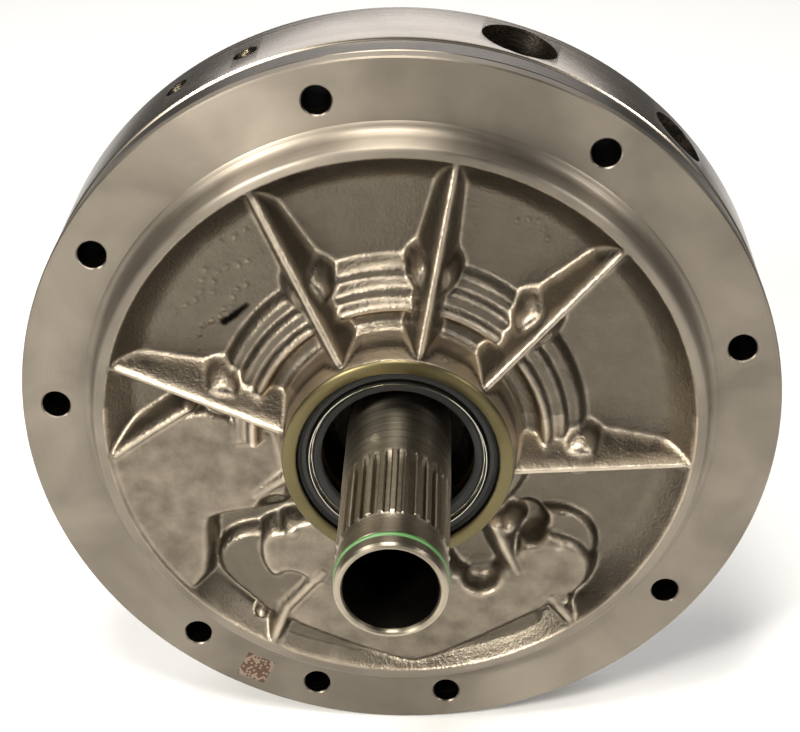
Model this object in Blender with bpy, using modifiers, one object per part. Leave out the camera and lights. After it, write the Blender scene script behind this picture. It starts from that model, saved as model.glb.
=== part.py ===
"""Front oil pump and stator support of an automatic transmission: a gerotor pump in three bolted
plates, with the splined stator tube standing out of its seal. Metres, +Z up. The pump's axis lies
along Y: the front, which faces the torque converter, looks towards -Y, and the origin is on the
axis in the plane of the bolting flange's front face."""

import math

import bmesh
import bpy
from mathutils import Matrix, Vector

MM = 0.001

# Every length from here to the end of this section is in millimetres.
# Heights are measured forwards from the flange's front face, so the plates lie at negative heights.

# Plates, as one stack on the axis
FLANGE_RADIUS = 120.0
FLANGE_THICKNESS = 5.0
BODY_THICKNESS = 11.4
SUPPORT_THICKNESS = 29.9
PLATE_GAP = 0.3                 # gap left between faces that touch
BODY_INSET = 0.8                # the pump body's rim stands this far inside the flange's
SUPPORT_INSET = 0.3
EDGE_CHAMFER = 0.6

# Front housing
PILOT_RADIUS = 98.0             # raised register inside the flange
PILOT_HEIGHT = 9.0
PILOT_WALL = 5.6
FLOOR_HEIGHT = 0.5              # cast floor between the ribs
HUB_RADIUS = 35.35
HUB_HEIGHT = 26.0
HUB_DRAFT = 1.6
CHANNEL_HEIGHT = 8.5            # ring channel round the hub's foot
STEP_OFFSETS = (9.65, 14.15, 18.65, 23.15)      # stepped back of the gear chamber, outside the hub
STEP_HEIGHTS = (12.0, 9.0, 5.6)

# Ribs and bosses, as polar angles in degrees seen from the front
RIB_ANGLES = (43.5, 79.7, 118.5, 166.0, 353.7)
RIB_CREST = 2.6
RIB_FOOT = 6.0
RIB_INNER_HEIGHT = 23.0
RIB_OUTER_HEIGHT = 8.0
BOSS_CLEARANCE = 10.0           # from the outer rotor to the circle of the bolts and their bosses
BOSS_RADIUS = 8.0
BOSS_HEIGHT = 12.0
LOWER_BOLT_ANGLES = (196.0, 228.0, 282.0)

# Case bolts, dowels and the bolts that hold the plates together
CASE_BOLT_CIRCLE = 109.1
CASE_BOLT_ANGLES = (14.6, 56.6, 102.8, 148.8, 177.8, 231.0, 254.8, 278.4, 324.0)
CASE_HOLE_RADIUS = 4.5
BOLT_RADIUS = 3.0               # M6
BOLT_CLEARANCE = 0.3
BOLT_BITE = 8.0                 # length that stands in the front housing
BOLT_HEAD_ACROSS = 10.0
BOLT_HEAD_HEIGHT = 6.0
BOLT_FLANGE_RADIUS = 6.4
BOLT_FLANGE_THICKNESS = 1.2
DOWEL_RADIUS = 4.0
DOWEL_CIRCLE = 106.0
DOWEL_ANGLES = (36.0, 206.0)
DOWEL_BITE = 3.2
DOWEL_DEPTH = 12.0
CASE_RING_WIRE = 0.85           # half the thickness of the ring that seals the pump in its case

# Converter hub seal and bushing
SEAL_BORE = 31.0
SEAL_DEPTH = 11.0
SEAL_WALL = 1.2
SEAL_LIP_RADIUS = 23.6
CONVERTER_HUB_RADIUS = 23.8
BUSHING_WALL = 2.2
BUSHING_LENGTH = 16.0

# Gerotor: the outer rotor has LOBES round lobes, and the inner rotor one lobe fewer
LOBES = 10
ECCENTRICITY = 2.6
ECCENTRIC_ANGLE = 59.0
LOBE_CIRCLE = 42.5
LOBE_RADIUS = 6.2
ROTOR_CLEARANCE = 0.25          # between the two rotors' flanks
ROTOR_WALL = 5.0                # metal outside the outer rotor's pockets
ROTOR_RUNNING_GAP = 0.15        # between the outer rotor and the pump body
ROTOR_END_GAP = 0.1
INNER_BORE = 25.4
DRIVE_LUG_RADIUS = 20.6         # two lugs reach in to the converter hub's slots
DRIVE_LUG_WIDTH = 9.0
POINTS_PER_LOBE = 12

# Rear support
KIDNEY_INNER = 33.5
KIDNEY_OUTER = 48.0
KIDNEY_DEPTH = 8.0
KIDNEY_GAP_ANGLE = 12.0         # land between the two ports, either side of the eccentric line
INLET_ANGLE, INLET_HEIGHT, INLET_RADIUS, INLET_FLOOR = 72.9, -30.2, 12.0, 88.0
OUTLET_ANGLE, OUTLET_HEIGHT, OUTLET_RADIUS, OUTLET_FLOOR = 44.9, -31.0, 10.0, 78.0
CHANNEL_WIDTH = 8.0
INLET_CHANNEL = ((40.0, 69.0), (96.0, 69.0))      # milled feeds, as radius and angle at each end
OUTLET_CHANNEL = ((44.0, 30.0), (86.0, 38.5))
RELIEF_CHANNEL = ((40.0, 270.0), (80.0, 270.0))
PLUGGED_HOLES = ((113.4, -30.4), (125.5, -33.8))
PLUG_HOLE_RADIUS = 4.0
PLUG_HOLE_FLOOR = 99.0
PLUG_BALL_RADIUS = 3.7
PLUG_BALL_SEAT = 114.6
REAR_POCKET_INNER = 72.0
REAR_POCKET_OUTER = 99.0
REAR_POCKET_DEPTH = 12.0
REAR_WEB_COUNT = 9
REAR_WEB_WIDTH = 7.0
PORT_WALL = 3.0                 # metal left round the two ports where they cross the pocket
REAR_HUB_RADIUS = 36.0
REAR_HUB_LENGTH = 38.0
RING_COUNT = 4
RING_PITCH = 7.5
RING_FIRST = 9.0                # from the support's rear face to the first ring's middle
RING_WIDTH = 2.2
RING_DEPTH = 2.6
RING_PROUD = 0.4
RING_GAP = 0.4
WASHER_OUTER = 49.0
WASHER_THICKNESS = 2.0

# Relief valve, in a bore straight up from the lowest point of the rim
RELIEF_HEIGHT = -28.0
RELIEF_BORE = 6.0
RELIEF_SEAT = 88.0
RELIEF_SEAT_BORE = 3.5
RELIEF_BALL = 4.9
RELIEF_SPRING_TURNS = 5
RELIEF_SPRING_WIRE = 0.6
RELIEF_SPRING_RADIUS = 4.4
RELIEF_PLUG_LENGTH = 7.0

# Stator tube
TUBE_TIP = 92.5
TUBE_TIP_RADIUS = 15.9
TUBE_SPLINE_RADIUS = 16.2
TUBE_PLAIN_RADIUS = 16.6
TUBE_SPLINE_START = 76.0
TUBE_SPLINE_END = 44.0
TUBE_PRESS_RADIUS = 20.0
TUBE_BORE = 13.4
TUBE_REAR_GAP = 3.0             # the tube stops this far inside the rear hub's mouth
SPLINE_COUNT = 28
SPLINE_DEPTH = 1.5
SPLINE_GROOVE = 2.1
RING_GROOVE_HEIGHT = 87.4
TUBE_RING_WIRE = 0.8
BUSH_BORE = 12.0
BUSH_LENGTH = 18.0
FRONT_BUSH_HEIGHT = 20.0

LARGE_STEPS = 40                # facets round the plates
SMALL_STEPS = 28                # facets round the shaft and its rings
HOLE_STEPS = 10

# Worked out from the sizes above
FLANGE_BACK = -FLANGE_THICKNESS
BODY_FRONT = FLANGE_BACK - PLATE_GAP
BODY_BACK = BODY_FRONT - BODY_THICKNESS
SUPPORT_FRONT = BODY_BACK - PLATE_GAP
SUPPORT_BACK = SUPPORT_FRONT - SUPPORT_THICKNESS
SUPPORT_RADIUS = FLANGE_RADIUS - SUPPORT_INSET
REAR_END = SUPPORT_BACK - REAR_HUB_LENGTH
PILOT_BORE = PILOT_RADIUS - PILOT_WALL
HUB_FOOT = HUB_RADIUS + HUB_DRAFT
STEP_RADII = [HUB_RADIUS + offset for offset in STEP_OFFSETS]
SEAL_SHOULDER = HUB_HEIGHT - SEAL_DEPTH
BUSHING_RADIUS = CONVERTER_HUB_RADIUS + BUSHING_WALL
OUTER_ROTOR_RADIUS = LOBE_CIRCLE - LOBE_RADIUS + 2 * ECCENTRICITY + ROTOR_WALL
BOSS_CIRCLE = OUTER_ROTOR_RADIUS + BOSS_CLEARANCE      # each rib carries one boss, and each boss a bolt
OVERCUT = 2.0                   # cutters run this far past the face that they cut
SUNK = 3.0                      # added pieces start this far inside what they join
BOLT_ANGLES = RIB_ANGLES + LOWER_BOLT_ANGLES

pump = None
cutters = None
axis_frame = None


def start_scene():
    """Empties the scene and makes the two collections and the frame that turns the axis to -Y."""
    global pump, cutters, axis_frame
    for old in list(bpy.data.objects):
        bpy.data.objects.remove(old)
    pump = bpy.data.collections.new("oil_pump")
    cutters = bpy.data.collections.new("cutters")
    for collection in (pump, cutters):
        bpy.context.scene.collection.children.link(collection)
    axis_frame = bpy.data.objects.new("axis_frame", None)
    axis_frame.rotation_euler = (math.radians(90), 0, 0)
    pump.objects.link(axis_frame)


def material(name, colour, roughness, metallic):
    made = bpy.data.materials.new(name)
    made.use_nodes = True
    shader = made.node_tree.nodes["Principled BSDF"]
    shader.inputs["Base Color"].default_value = (*colour, 1)
    shader.inputs["Roughness"].default_value = roughness
    shader.inputs["Metallic"].default_value = metallic
    return made


def place(name, mesh, finish=None, parent=None):
    """An object of the pump where a finish is given, or else a cutter or a guide."""
    item = bpy.data.objects.new(name, mesh)
    (pump if finish else cutters).objects.link(item)
    item.parent = parent or axis_frame
    if finish:
        mesh.materials.append(finish)
    else:
        item.hide_render = True
        item.display_type = "WIRE"
    return item


def mesh_from(shape, name):
    """A mesh from a bmesh that was drawn in millimetres."""
    bmesh.ops.scale(shape, vec=(MM, MM, MM), verts=shape.verts)
    mesh = bpy.data.meshes.new(name)
    shape.to_mesh(mesh)
    shape.free()
    return mesh


def at_angle(radius, angle, height=0.0):
    turn = math.radians(angle)
    return Vector((radius * math.cos(turn), radius * math.sin(turn), height))


def turned(name, profile, finish=None, steps=LARGE_STEPS):
    """A closed profile of (radius, height) points, turned about the axis. It runs down its outer side."""
    shape = bmesh.new()
    points = [shape.verts.new((radius, 0, height)) for radius, height in profile]
    for here, following in zip(points, points[1:] + points[:1]):
        shape.edges.new((here, following))
    item = place(name, mesh_from(shape, name), finish)
    screw = item.modifiers.new("turn", "SCREW")
    screw.angle = math.radians(360)
    screw.steps = screw.render_steps = steps
    screw.use_merge_vertices = True
    screw.merge_threshold = 0.00001
    return item


def ring(name, inner, outer, low, high, finish=None, steps=LARGE_STEPS):
    return turned(name, ((outer, high), (outer, low), (inner, low), (inner, high)), finish, steps)


def rod(name, radius, start, end, finish=None, steps=HOLE_STEPS, tip_radius=None):
    """A cylinder or cone between two points."""
    start, end = Vector(start), Vector(end)
    shape = bmesh.new()
    bmesh.ops.create_cone(shape, cap_ends=True, segments=steps, radius1=radius,
                          radius2=radius if tip_radius is None else tip_radius,
                          depth=(end - start).length)
    turn = (end - start).to_track_quat("Z", "Y").to_matrix().to_4x4()
    shape.transform(Matrix.Translation((start + end) / 2) @ turn)
    return place(name, mesh_from(shape, name), finish)


def ball(name, radius, centre, finish):
    shape = bmesh.new()
    bmesh.ops.create_uvsphere(shape, u_segments=12, v_segments=8, radius=radius)
    shape.transform(Matrix.Translation(centre))
    return place(name, mesh_from(shape, name), finish)


def plate(name, outlines, low, high, finish=None):
    """A flat plate between two heights. The first outline is its edge and the others are holes."""
    curve = bpy.data.curves.new(name, "CURVE")
    curve.dimensions = "2D"
    curve.fill_mode = "BOTH"
    curve.extrude = (high - low) / 2 * MM
    for outline in outlines:
        spline = curve.splines.new("POLY")
        spline.points.add(len(outline) - 1)
        for point, (x, y) in zip(spline.points, outline):
            point.co = (x * MM, y * MM, 0, 1)
        spline.use_cyclic_u = True
    drawn = bpy.data.objects.new(name + "_outline", curve)
    cutters.objects.link(drawn)
    bpy.context.view_layer.update()
    mesh = bpy.data.meshes.new_from_object(drawn.evaluated_get(bpy.context.evaluated_depsgraph_get()))
    bpy.data.objects.remove(drawn)
    shape = bmesh.new()
    shape.from_mesh(mesh)
    bpy.data.meshes.remove(mesh)
    bmesh.ops.remove_doubles(shape, verts=shape.verts, dist=0.00001)
    shape.transform(Matrix.Translation((0, 0, (high + low) / 2 * MM)))
    mesh = bpy.data.meshes.new(name)
    shape.to_mesh(mesh)
    shape.free()
    return place(name, mesh, finish)


def combine(item, other, operation):
    step = item.modifiers.new(other.name, "BOOLEAN")
    step.operation = operation
    step.object = other
    step.solver = "EXACT"


def cut(item, *others):
    for other in others:
        combine(item, other, "DIFFERENCE")


def join(item, *others):
    for other in others:
        combine(item, other, "UNION")


def baked(item):
    """The item's mesh with its modifiers applied, in the item's own frame."""
    bpy.context.view_layer.update()
    return bpy.data.meshes.new_from_object(item.evaluated_get(bpy.context.evaluated_depsgraph_get()))


def group(name, item, matrices, finish=None):
    """One object that holds a copy of the item's mesh for each matrix, as separate bodies."""
    source = baked(item)
    shape = bmesh.new()
    for matrix in matrices:
        part = bmesh.new()
        part.from_mesh(source)
        part.transform(matrix)
        copy = bpy.data.meshes.new("copy")
        part.to_mesh(copy)
        part.free()
        shape.from_mesh(copy)
        bpy.data.meshes.remove(copy)
    mesh = bpy.data.meshes.new(name)
    shape.to_mesh(mesh)
    shape.free()
    bpy.data.meshes.remove(source)
    return place(name, mesh, finish)


def holes(name, radius, circle, angles, low, high):
    """One cutter for a set of equal holes on a circle, parallel to the axis."""
    one = rod(name + "_one", radius, (0, 0, low), (0, 0, high))
    return group(name, one, [Matrix.Translation(at_angle(circle, angle) * MM) for angle in angles])


def arc(radius, start, end, steps):
    return [tuple(at_angle(radius, start + (end - start) * n / steps)[:2]) for n in range(steps + 1)]


def kidney(name, start, end, low, high):
    outline = arc(KIDNEY_OUTER, start, end, 16) + arc(KIDNEY_INNER, end, start, 16)
    return plate(name, [outline], low, high)


def slot(name, start, end, width, low, high):
    """A straight bar or slot between two points."""
    along = (end - start).normalized()
    side = Vector((-along.y, along.x, 0)) * width / 2
    outline = [(start + side)[:2], (start - side)[:2], (end - side)[:2], (end + side)[:2]]
    return plate(name, [outline], low, high)


def rib(name, start, end, crest_start, crest_end, foot_height, crest=RIB_CREST, foot=RIB_FOOT):
    """A cast rib between two points, with drafted sides and a crest that may slope."""
    start, end = Vector(start[:2]), Vector(end[:2])
    along = (end - start).normalized()
    side = Vector((-along.y, along.x))
    shape = bmesh.new()
    bmesh.ops.create_cube(shape, size=2)
    for vert in shape.verts:
        at_end, at_top = vert.co.x > 0, vert.co.z > 0
        base = end if at_end else start
        half = (crest if at_top else foot) / 2
        spot = base + side * (half if vert.co.y > 0 else -half)
        height = (crest_end if at_end else crest_start) if at_top else foot_height
        vert.co = (spot.x, spot.y, height)
    return place(name, mesh_from(shape, name))


def circle_points(radius, centre, steps):
    return [(centre[0] + radius * math.cos(2 * math.pi * n / steps),
             centre[1] + radius * math.sin(2 * math.pi * n / steps)) for n in range(steps)]


# Raised casting on the lower half, as outlines in millimetres with the height of each top
SIDE_FLAT = (((-36, -3), (-50, 3), (-66, 7.5), (-88, -9), (-93, -12), (-91, -30), (-78, -53), (-71, -62),
              (-67, -59), (-63, -53), (-63, -34.5), (-60, -31.5), (-45, -28.5), (-36, -26.5)), 8.2)
LOW_PAD = (((-59, -49), (-57, -45), (-52.5, -41.2), (-40, -40), (-33, -45), (-30, -55),
            (-35, -62), (-41, -73), (-47, -66.5), (-57, -57)), 6.2)
INNER_PAD = (((-44, -39.5), (-36, -36), (-24, -32), (0, -38), (0, -60), (-27, -58), (-34, -52),
              (-42, -54), (-44.5, -48)), 9.2)
GALLERY = (((-27, -58), (-36, -69), (-38.5, -72.5), (-20, -81), (0, -89), (8, -89.5), (25, -80),
            (45, -68), (52, -64), (60, -58), (62, -50), (59, -43.5), (54, -40), (46, -38.5),
            (38, -43), (36, -50), (32, -57), (18, -57), (10, -40), (-10, -38)), 8.7)
RAISED_PARTS = {"side_flat": SIDE_FLAT, "low_pad": LOW_PAD, "inner_pad": INNER_PAD, "gallery": GALLERY}
LOWER_RIBS = (((-27, -57), (-42.5, -82), 10.2, 9.0), ((-66, 8), (-89.5, -9), 9.8, 9.4),
              ((49, -29), (61, -44), 7.6, 7.0), ((31, -33), (37.5, -52), 12.0, 9.2),
              ((50, -63), (58, -73), 9.2, 8.9))


def front_housing(finish):
    """The cast front plate: flange, raised pilot, ribs, gear chamber steps and the seal's hub."""
    steps_side = [(STEP_RADII[3] + 1.2, FLOOR_HEIGHT)]
    for radius, height in zip(reversed(STEP_RADII[1:]), reversed(STEP_HEIGHTS)):
        steps_side += [(radius, height - 1.0), (radius - 1.2, height)]
    profile = ([(FLANGE_RADIUS, -EDGE_CHAMFER), (FLANGE_RADIUS, FLANGE_BACK),
                (BUSHING_RADIUS, FLANGE_BACK), (BUSHING_RADIUS, SEAL_SHOULDER),
                (SEAL_BORE, SEAL_SHOULDER), (SEAL_BORE, HUB_HEIGHT),
                (HUB_RADIUS, HUB_HEIGHT), (HUB_FOOT, CHANNEL_HEIGHT + 2),
                (HUB_FOOT + 1.8, CHANNEL_HEIGHT), (STEP_RADII[0] - 1.2, CHANNEL_HEIGHT),
                (STEP_RADII[0], STEP_HEIGHTS[0])]
               + list(reversed(steps_side))
               + [(PILOT_BORE - 2.5, FLOOR_HEIGHT), (PILOT_BORE - 0.6, FLOOR_HEIGHT + 2.0),
                  (PILOT_BORE, PILOT_HEIGHT - 0.8), (PILOT_BORE + 0.8, PILOT_HEIGHT),
                  (PILOT_RADIUS - 1.9, PILOT_HEIGHT), (PILOT_RADIUS - 1.2, PILOT_HEIGHT - 0.7),
                  (PILOT_RADIUS, 1.2), (PILOT_RADIUS + 1.4, 0), (FLANGE_RADIUS - EDGE_CHAMFER, 0)])
    housing = turned("front_housing", profile, finish)
    floor = FLOOR_HEIGHT - SUNK
    for number, angle in enumerate(RIB_ANGLES):
        join(housing, rib(f"rib_{number}", at_angle(HUB_RADIUS + 0.8, angle),
                          at_angle(PILOT_BORE + 1.5, angle), RIB_INNER_HEIGHT, RIB_OUTER_HEIGHT, floor))
    for number, (start, end, high_start, high_end) in enumerate(LOWER_RIBS):
        join(housing, rib(f"lower_rib_{number}", start, end, high_start, high_end, floor, foot=5.0))
    for label, (outline, height) in RAISED_PARTS.items():
        join(housing, plate(label, [outline], floor, height))
    for number, angle in enumerate(RIB_ANGLES):
        foot, top = at_angle(BOSS_CIRCLE, angle, floor), at_angle(BOSS_CIRCLE, angle, BOSS_HEIGHT)
        join(housing, rod(f"boss_{number}", BOSS_RADIUS + 1.5, foot, top, tip_radius=BOSS_RADIUS - 1.5))
    thread_top = FLANGE_BACK + BOLT_BITE + 0.6
    cut(housing,
        holes("case_holes_front", CASE_HOLE_RADIUS, CASE_BOLT_CIRCLE, CASE_BOLT_ANGLES,
              FLANGE_BACK - OVERCUT, OVERCUT),
        holes("thread_holes", BOLT_RADIUS + BOLT_CLEARANCE, BOSS_CIRCLE, BOLT_ANGLES,
              FLANGE_BACK - OVERCUT, thread_top),
        holes("dowel_holes_front", DOWEL_RADIUS + PLATE_GAP, DOWEL_CIRCLE, DOWEL_ANGLES,
              FLANGE_BACK - OVERCUT, FLANGE_BACK + DOWEL_BITE + PLATE_GAP))
    return housing


def pump_body(finish):
    """The middle plate: a ring whose off-centre bore is the outer rotor's chamber."""
    radius = FLANGE_RADIUS - BODY_INSET
    groove = 2 * (CASE_RING_WIRE + 0.2)
    edge = circle_points(radius, (0, 0), LARGE_STEPS)
    body = plate("pump_body", [edge], BODY_BACK, BODY_FRONT, finish)
    chamber = plate("rotor_chamber",
                    [circle_points(OUTER_ROTOR_RADIUS + ROTOR_RUNNING_GAP + 0.1,
                                   at_angle(ECCENTRICITY, ECCENTRIC_ANGLE)[:2], LARGE_STEPS)],
                    BODY_BACK - OVERCUT, BODY_FRONT + OVERCUT)
    cut(body, chamber,
        ring("case_ring_groove", radius - groove, radius + OVERCUT, BODY_FRONT - groove,
             BODY_FRONT + OVERCUT),
        holes("case_holes_body", CASE_HOLE_RADIUS, CASE_BOLT_CIRCLE, CASE_BOLT_ANGLES,
              BODY_BACK - OVERCUT, BODY_FRONT + OVERCUT),
        holes("bolt_holes_body", BOLT_RADIUS + BOLT_CLEARANCE, BOSS_CIRCLE, BOLT_ANGLES,
              BODY_BACK - OVERCUT, BODY_FRONT + OVERCUT),
        holes("dowel_holes_body", DOWEL_RADIUS + PLATE_GAP, DOWEL_CIRCLE, DOWEL_ANGLES,
              BODY_BACK - OVERCUT, BODY_FRONT + OVERCUT))
    return body


def round_ring(name, wire, radius, height, finish, steps=LARGE_STEPS, sides=6):
    """A ring of round section, such as an O-ring."""
    profile = [(radius + wire * math.cos(-2 * math.pi * n / sides),
                height + wire * math.sin(-2 * math.pi * n / sides)) for n in range(sides)]
    return turned(name, profile, finish, steps)


def inner_rotor_outline():
    """The rotor's flank, as the curve that the outer rotor's round lobes roll on."""
    lobes = LOBES - 1
    count = lobes * POINTS_PER_LOBE
    points = []
    for n in range(count):
        t = 2 * math.pi * n / count
        lean = math.atan2(math.sin((1 - LOBES) * t),
                          LOBE_CIRCLE / (ECCENTRICITY * LOBES) - math.cos((1 - LOBES) * t))
        radius = LOBE_RADIUS + ROTOR_CLEARANCE
        x = LOBE_CIRCLE * math.cos(t) - radius * math.cos(t + lean) - ECCENTRICITY * math.cos(LOBES * t)
        y = (-LOBE_CIRCLE * math.sin(t) + radius * math.sin(t + lean)
             + ECCENTRICITY * math.sin(LOBES * t))
        points.append((x, -y))
    return points


def outer_rotor_outline():
    """The chamber of the outer rotor: round lobes that point inwards, joined by arcs at the root."""
    root = LOBE_CIRCLE - LOBE_RADIUS + 2 * ECCENTRICITY + 0.25
    lobe_turn = 360 / LOBES
    points = []
    for lobe in range(LOBES):
        centre = at_angle(LOBE_CIRCLE, lobe * lobe_turn)
        # where the lobe's circle meets the root circle
        reach = math.acos((LOBE_CIRCLE ** 2 + LOBE_RADIUS ** 2 - root ** 2)
                          / (2 * LOBE_CIRCLE * LOBE_RADIUS))
        steps = POINTS_PER_LOBE - 3
        for n in range(steps + 1):
            turn = math.radians(lobe * lobe_turn) + math.pi + reach * (1 - 2 * n / steps)
            points.append((centre.x + LOBE_RADIUS * math.cos(turn),
                           centre.y + LOBE_RADIUS * math.sin(turn)))
        last = math.degrees(math.atan2(points[-1][1], points[-1][0]))
        half = (lobe_turn - 2 * (last - lobe * lobe_turn if last >= 0 or lobe == 0
                                 else last + 360 - lobe * lobe_turn)) / 2
        middle = (lobe + 0.5) * lobe_turn
        for n in (-1, 0, 1):
            points.append(tuple(at_angle(root, middle + n * half / 2)[:2]))
    return points


def rotated(points, angle, centre=(0, 0)):
    turn = math.radians(angle)
    return [(centre[0] + x * math.cos(turn) - y * math.sin(turn),
             centre[1] + x * math.sin(turn) + y * math.cos(turn)) for x, y in points]


def rotors(finish_inner, finish_outer):
    """The pump's two gears. Each turns about its own axis, and their flanks are in mesh."""
    low, high = BODY_BACK + ROTOR_END_GAP, BODY_FRONT - ROTOR_END_GAP
    bore = circle_points(INNER_BORE, (0, 0), LARGE_STEPS)
    mesh_angle = ECCENTRIC_ANGLE + 180      # where an outer lobe sits deepest between two inner lobes
    inner = plate("inner_rotor", [rotated(inner_rotor_outline(), mesh_angle), bore], low, high,
                  finish_inner)
    reach = INNER_BORE + 1.5
    for number, angle in enumerate((0.0, 180.0)):
        lug = slot(f"drive_lug_{number}", at_angle(DRIVE_LUG_RADIUS, angle), at_angle(reach, angle),
                   DRIVE_LUG_WIDTH, low + 1.5, high - 1.5)
        join(inner, lug)
    centre = at_angle(ECCENTRICITY, ECCENTRIC_ANGLE)
    pivot = bpy.data.objects.new("outer_rotor_axis", None)
    pump.objects.link(pivot)
    pivot.parent = axis_frame
    pivot.location = centre * MM
    outer = plate("outer_rotor", [circle_points(OUTER_ROTOR_RADIUS, (0, 0), LARGE_STEPS),
                                  rotated(outer_rotor_outline(), mesh_angle)], low, high,
                  finish_outer)
    outer.parent = pivot


def rear_support(finish):
    """The rear plate: port kidneys, drilled oil ways and the long hub that carries the clutch rings."""
    rear_pocket = SUPPORT_BACK + REAR_POCKET_DEPTH
    mouth = EDGE_CHAMFER + 0.6
    profile = [(SUPPORT_RADIUS, SUPPORT_FRONT - EDGE_CHAMFER), (SUPPORT_RADIUS, SUPPORT_BACK + mouth),
               (SUPPORT_RADIUS - mouth, SUPPORT_BACK), (REAR_POCKET_OUTER, SUPPORT_BACK),
               (REAR_POCKET_OUTER - 1.5, rear_pocket), (REAR_POCKET_INNER + 1.5, rear_pocket),
               (REAR_POCKET_INNER, SUPPORT_BACK), (REAR_HUB_RADIUS, SUPPORT_BACK)]
    for number in range(RING_COUNT):
        middle = SUPPORT_BACK - RING_FIRST - number * RING_PITCH
        half = RING_WIDTH / 2 + RING_GAP
        profile += [(REAR_HUB_RADIUS, middle + half), (REAR_HUB_RADIUS - RING_DEPTH, middle + half),
                    (REAR_HUB_RADIUS - RING_DEPTH, middle - half), (REAR_HUB_RADIUS, middle - half)]
    bore = TUBE_PRESS_RADIUS + PLATE_GAP
    profile += [(REAR_HUB_RADIUS, REAR_END + 1), (REAR_HUB_RADIUS - 1, REAR_END), (bore, REAR_END),
                (bore, SUPPORT_FRONT), (SUPPORT_RADIUS - EDGE_CHAMFER, SUPPORT_FRONT)]
    support = turned("rear_support", profile, finish)
    for number in range(REAR_WEB_COUNT):
        angle = CASE_BOLT_ANGLES[number]
        web = slot(f"rear_web_{number}", at_angle(REAR_POCKET_INNER - SUNK, angle),
                   at_angle(REAR_POCKET_OUTER + SUNK, angle), REAR_WEB_WIDTH, SUPPORT_BACK + 2,
                   rear_pocket + SUNK)
        join(support, web)
    ports = (("inlet", INLET_ANGLE, INLET_HEIGHT, INLET_RADIUS, INLET_FLOOR),
             ("outlet", OUTLET_ANGLE, OUTLET_HEIGHT, OUTLET_RADIUS, OUTLET_FLOOR))
    for label, angle, height, radius, floor in ports:
        join(support, slot(f"{label}_block", at_angle(floor - PORT_WALL, angle),
                           at_angle(REAR_POCKET_OUTER + SUNK, angle), 2 * (radius + PORT_WALL),
                           min(height - radius - PORT_WALL, SUPPORT_BACK + 2), rear_pocket + SUNK))
    kidney_low, kidney_high = SUPPORT_FRONT - KIDNEY_DEPTH, SUPPORT_FRONT + OVERCUT
    land = KIDNEY_GAP_ANGLE
    cut(support,
        kidney("kidney_a", ECCENTRIC_ANGLE + land, ECCENTRIC_ANGLE + 180 - land, kidney_low, kidney_high),
        kidney("kidney_b", ECCENTRIC_ANGLE - 180 + land, ECCENTRIC_ANGLE - land, kidney_low, kidney_high))
    for number, (start, end) in enumerate((INLET_CHANNEL, OUTLET_CHANNEL, RELIEF_CHANNEL)):
        cut(support, slot(f"channel_{number}", at_angle(*start), at_angle(*end), CHANNEL_WIDTH,
                          kidney_low + 0.4, kidney_high))
    for label, angle, height, radius, floor in ports:
        cut(support, rod(f"{label}_bore", radius, at_angle(floor, angle, height),
                         at_angle(SUPPORT_RADIUS + OVERCUT, angle, height), steps=24))
    for number, (angle, height) in enumerate(PLUGGED_HOLES):
        cut(support, rod(f"plug_hole_{number}", PLUG_HOLE_RADIUS, at_angle(PLUG_HOLE_FLOOR, angle, height),
                         at_angle(SUPPORT_RADIUS + OVERCUT, angle, height), steps=16))
    down = 270.0
    cut(support,
        rod("relief_bore", RELIEF_BORE, at_angle(RELIEF_SEAT, down, RELIEF_HEIGHT),
            at_angle(SUPPORT_RADIUS + OVERCUT, down, RELIEF_HEIGHT), steps=16),
        rod("relief_seat", RELIEF_SEAT_BORE, at_angle(RELIEF_CHANNEL[1][0] - 4, down, RELIEF_HEIGHT),
            at_angle(RELIEF_SEAT + OVERCUT, down, RELIEF_HEIGHT), steps=12),
        holes("case_holes_rear", CASE_HOLE_RADIUS, CASE_BOLT_CIRCLE, CASE_BOLT_ANGLES,
              SUPPORT_BACK - OVERCUT, SUPPORT_FRONT + OVERCUT),
        holes("bolt_holes_rear", BOLT_RADIUS + BOLT_CLEARANCE, BOSS_CIRCLE, BOLT_ANGLES,
              SUPPORT_BACK - OVERCUT, SUPPORT_FRONT + OVERCUT),
        holes("dowel_holes_rear", DOWEL_RADIUS + PLATE_GAP, DOWEL_CIRCLE, DOWEL_ANGLES,
              SUPPORT_FRONT - DOWEL_DEPTH - PLATE_GAP, SUPPORT_FRONT + OVERCUT))
    return support


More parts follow.
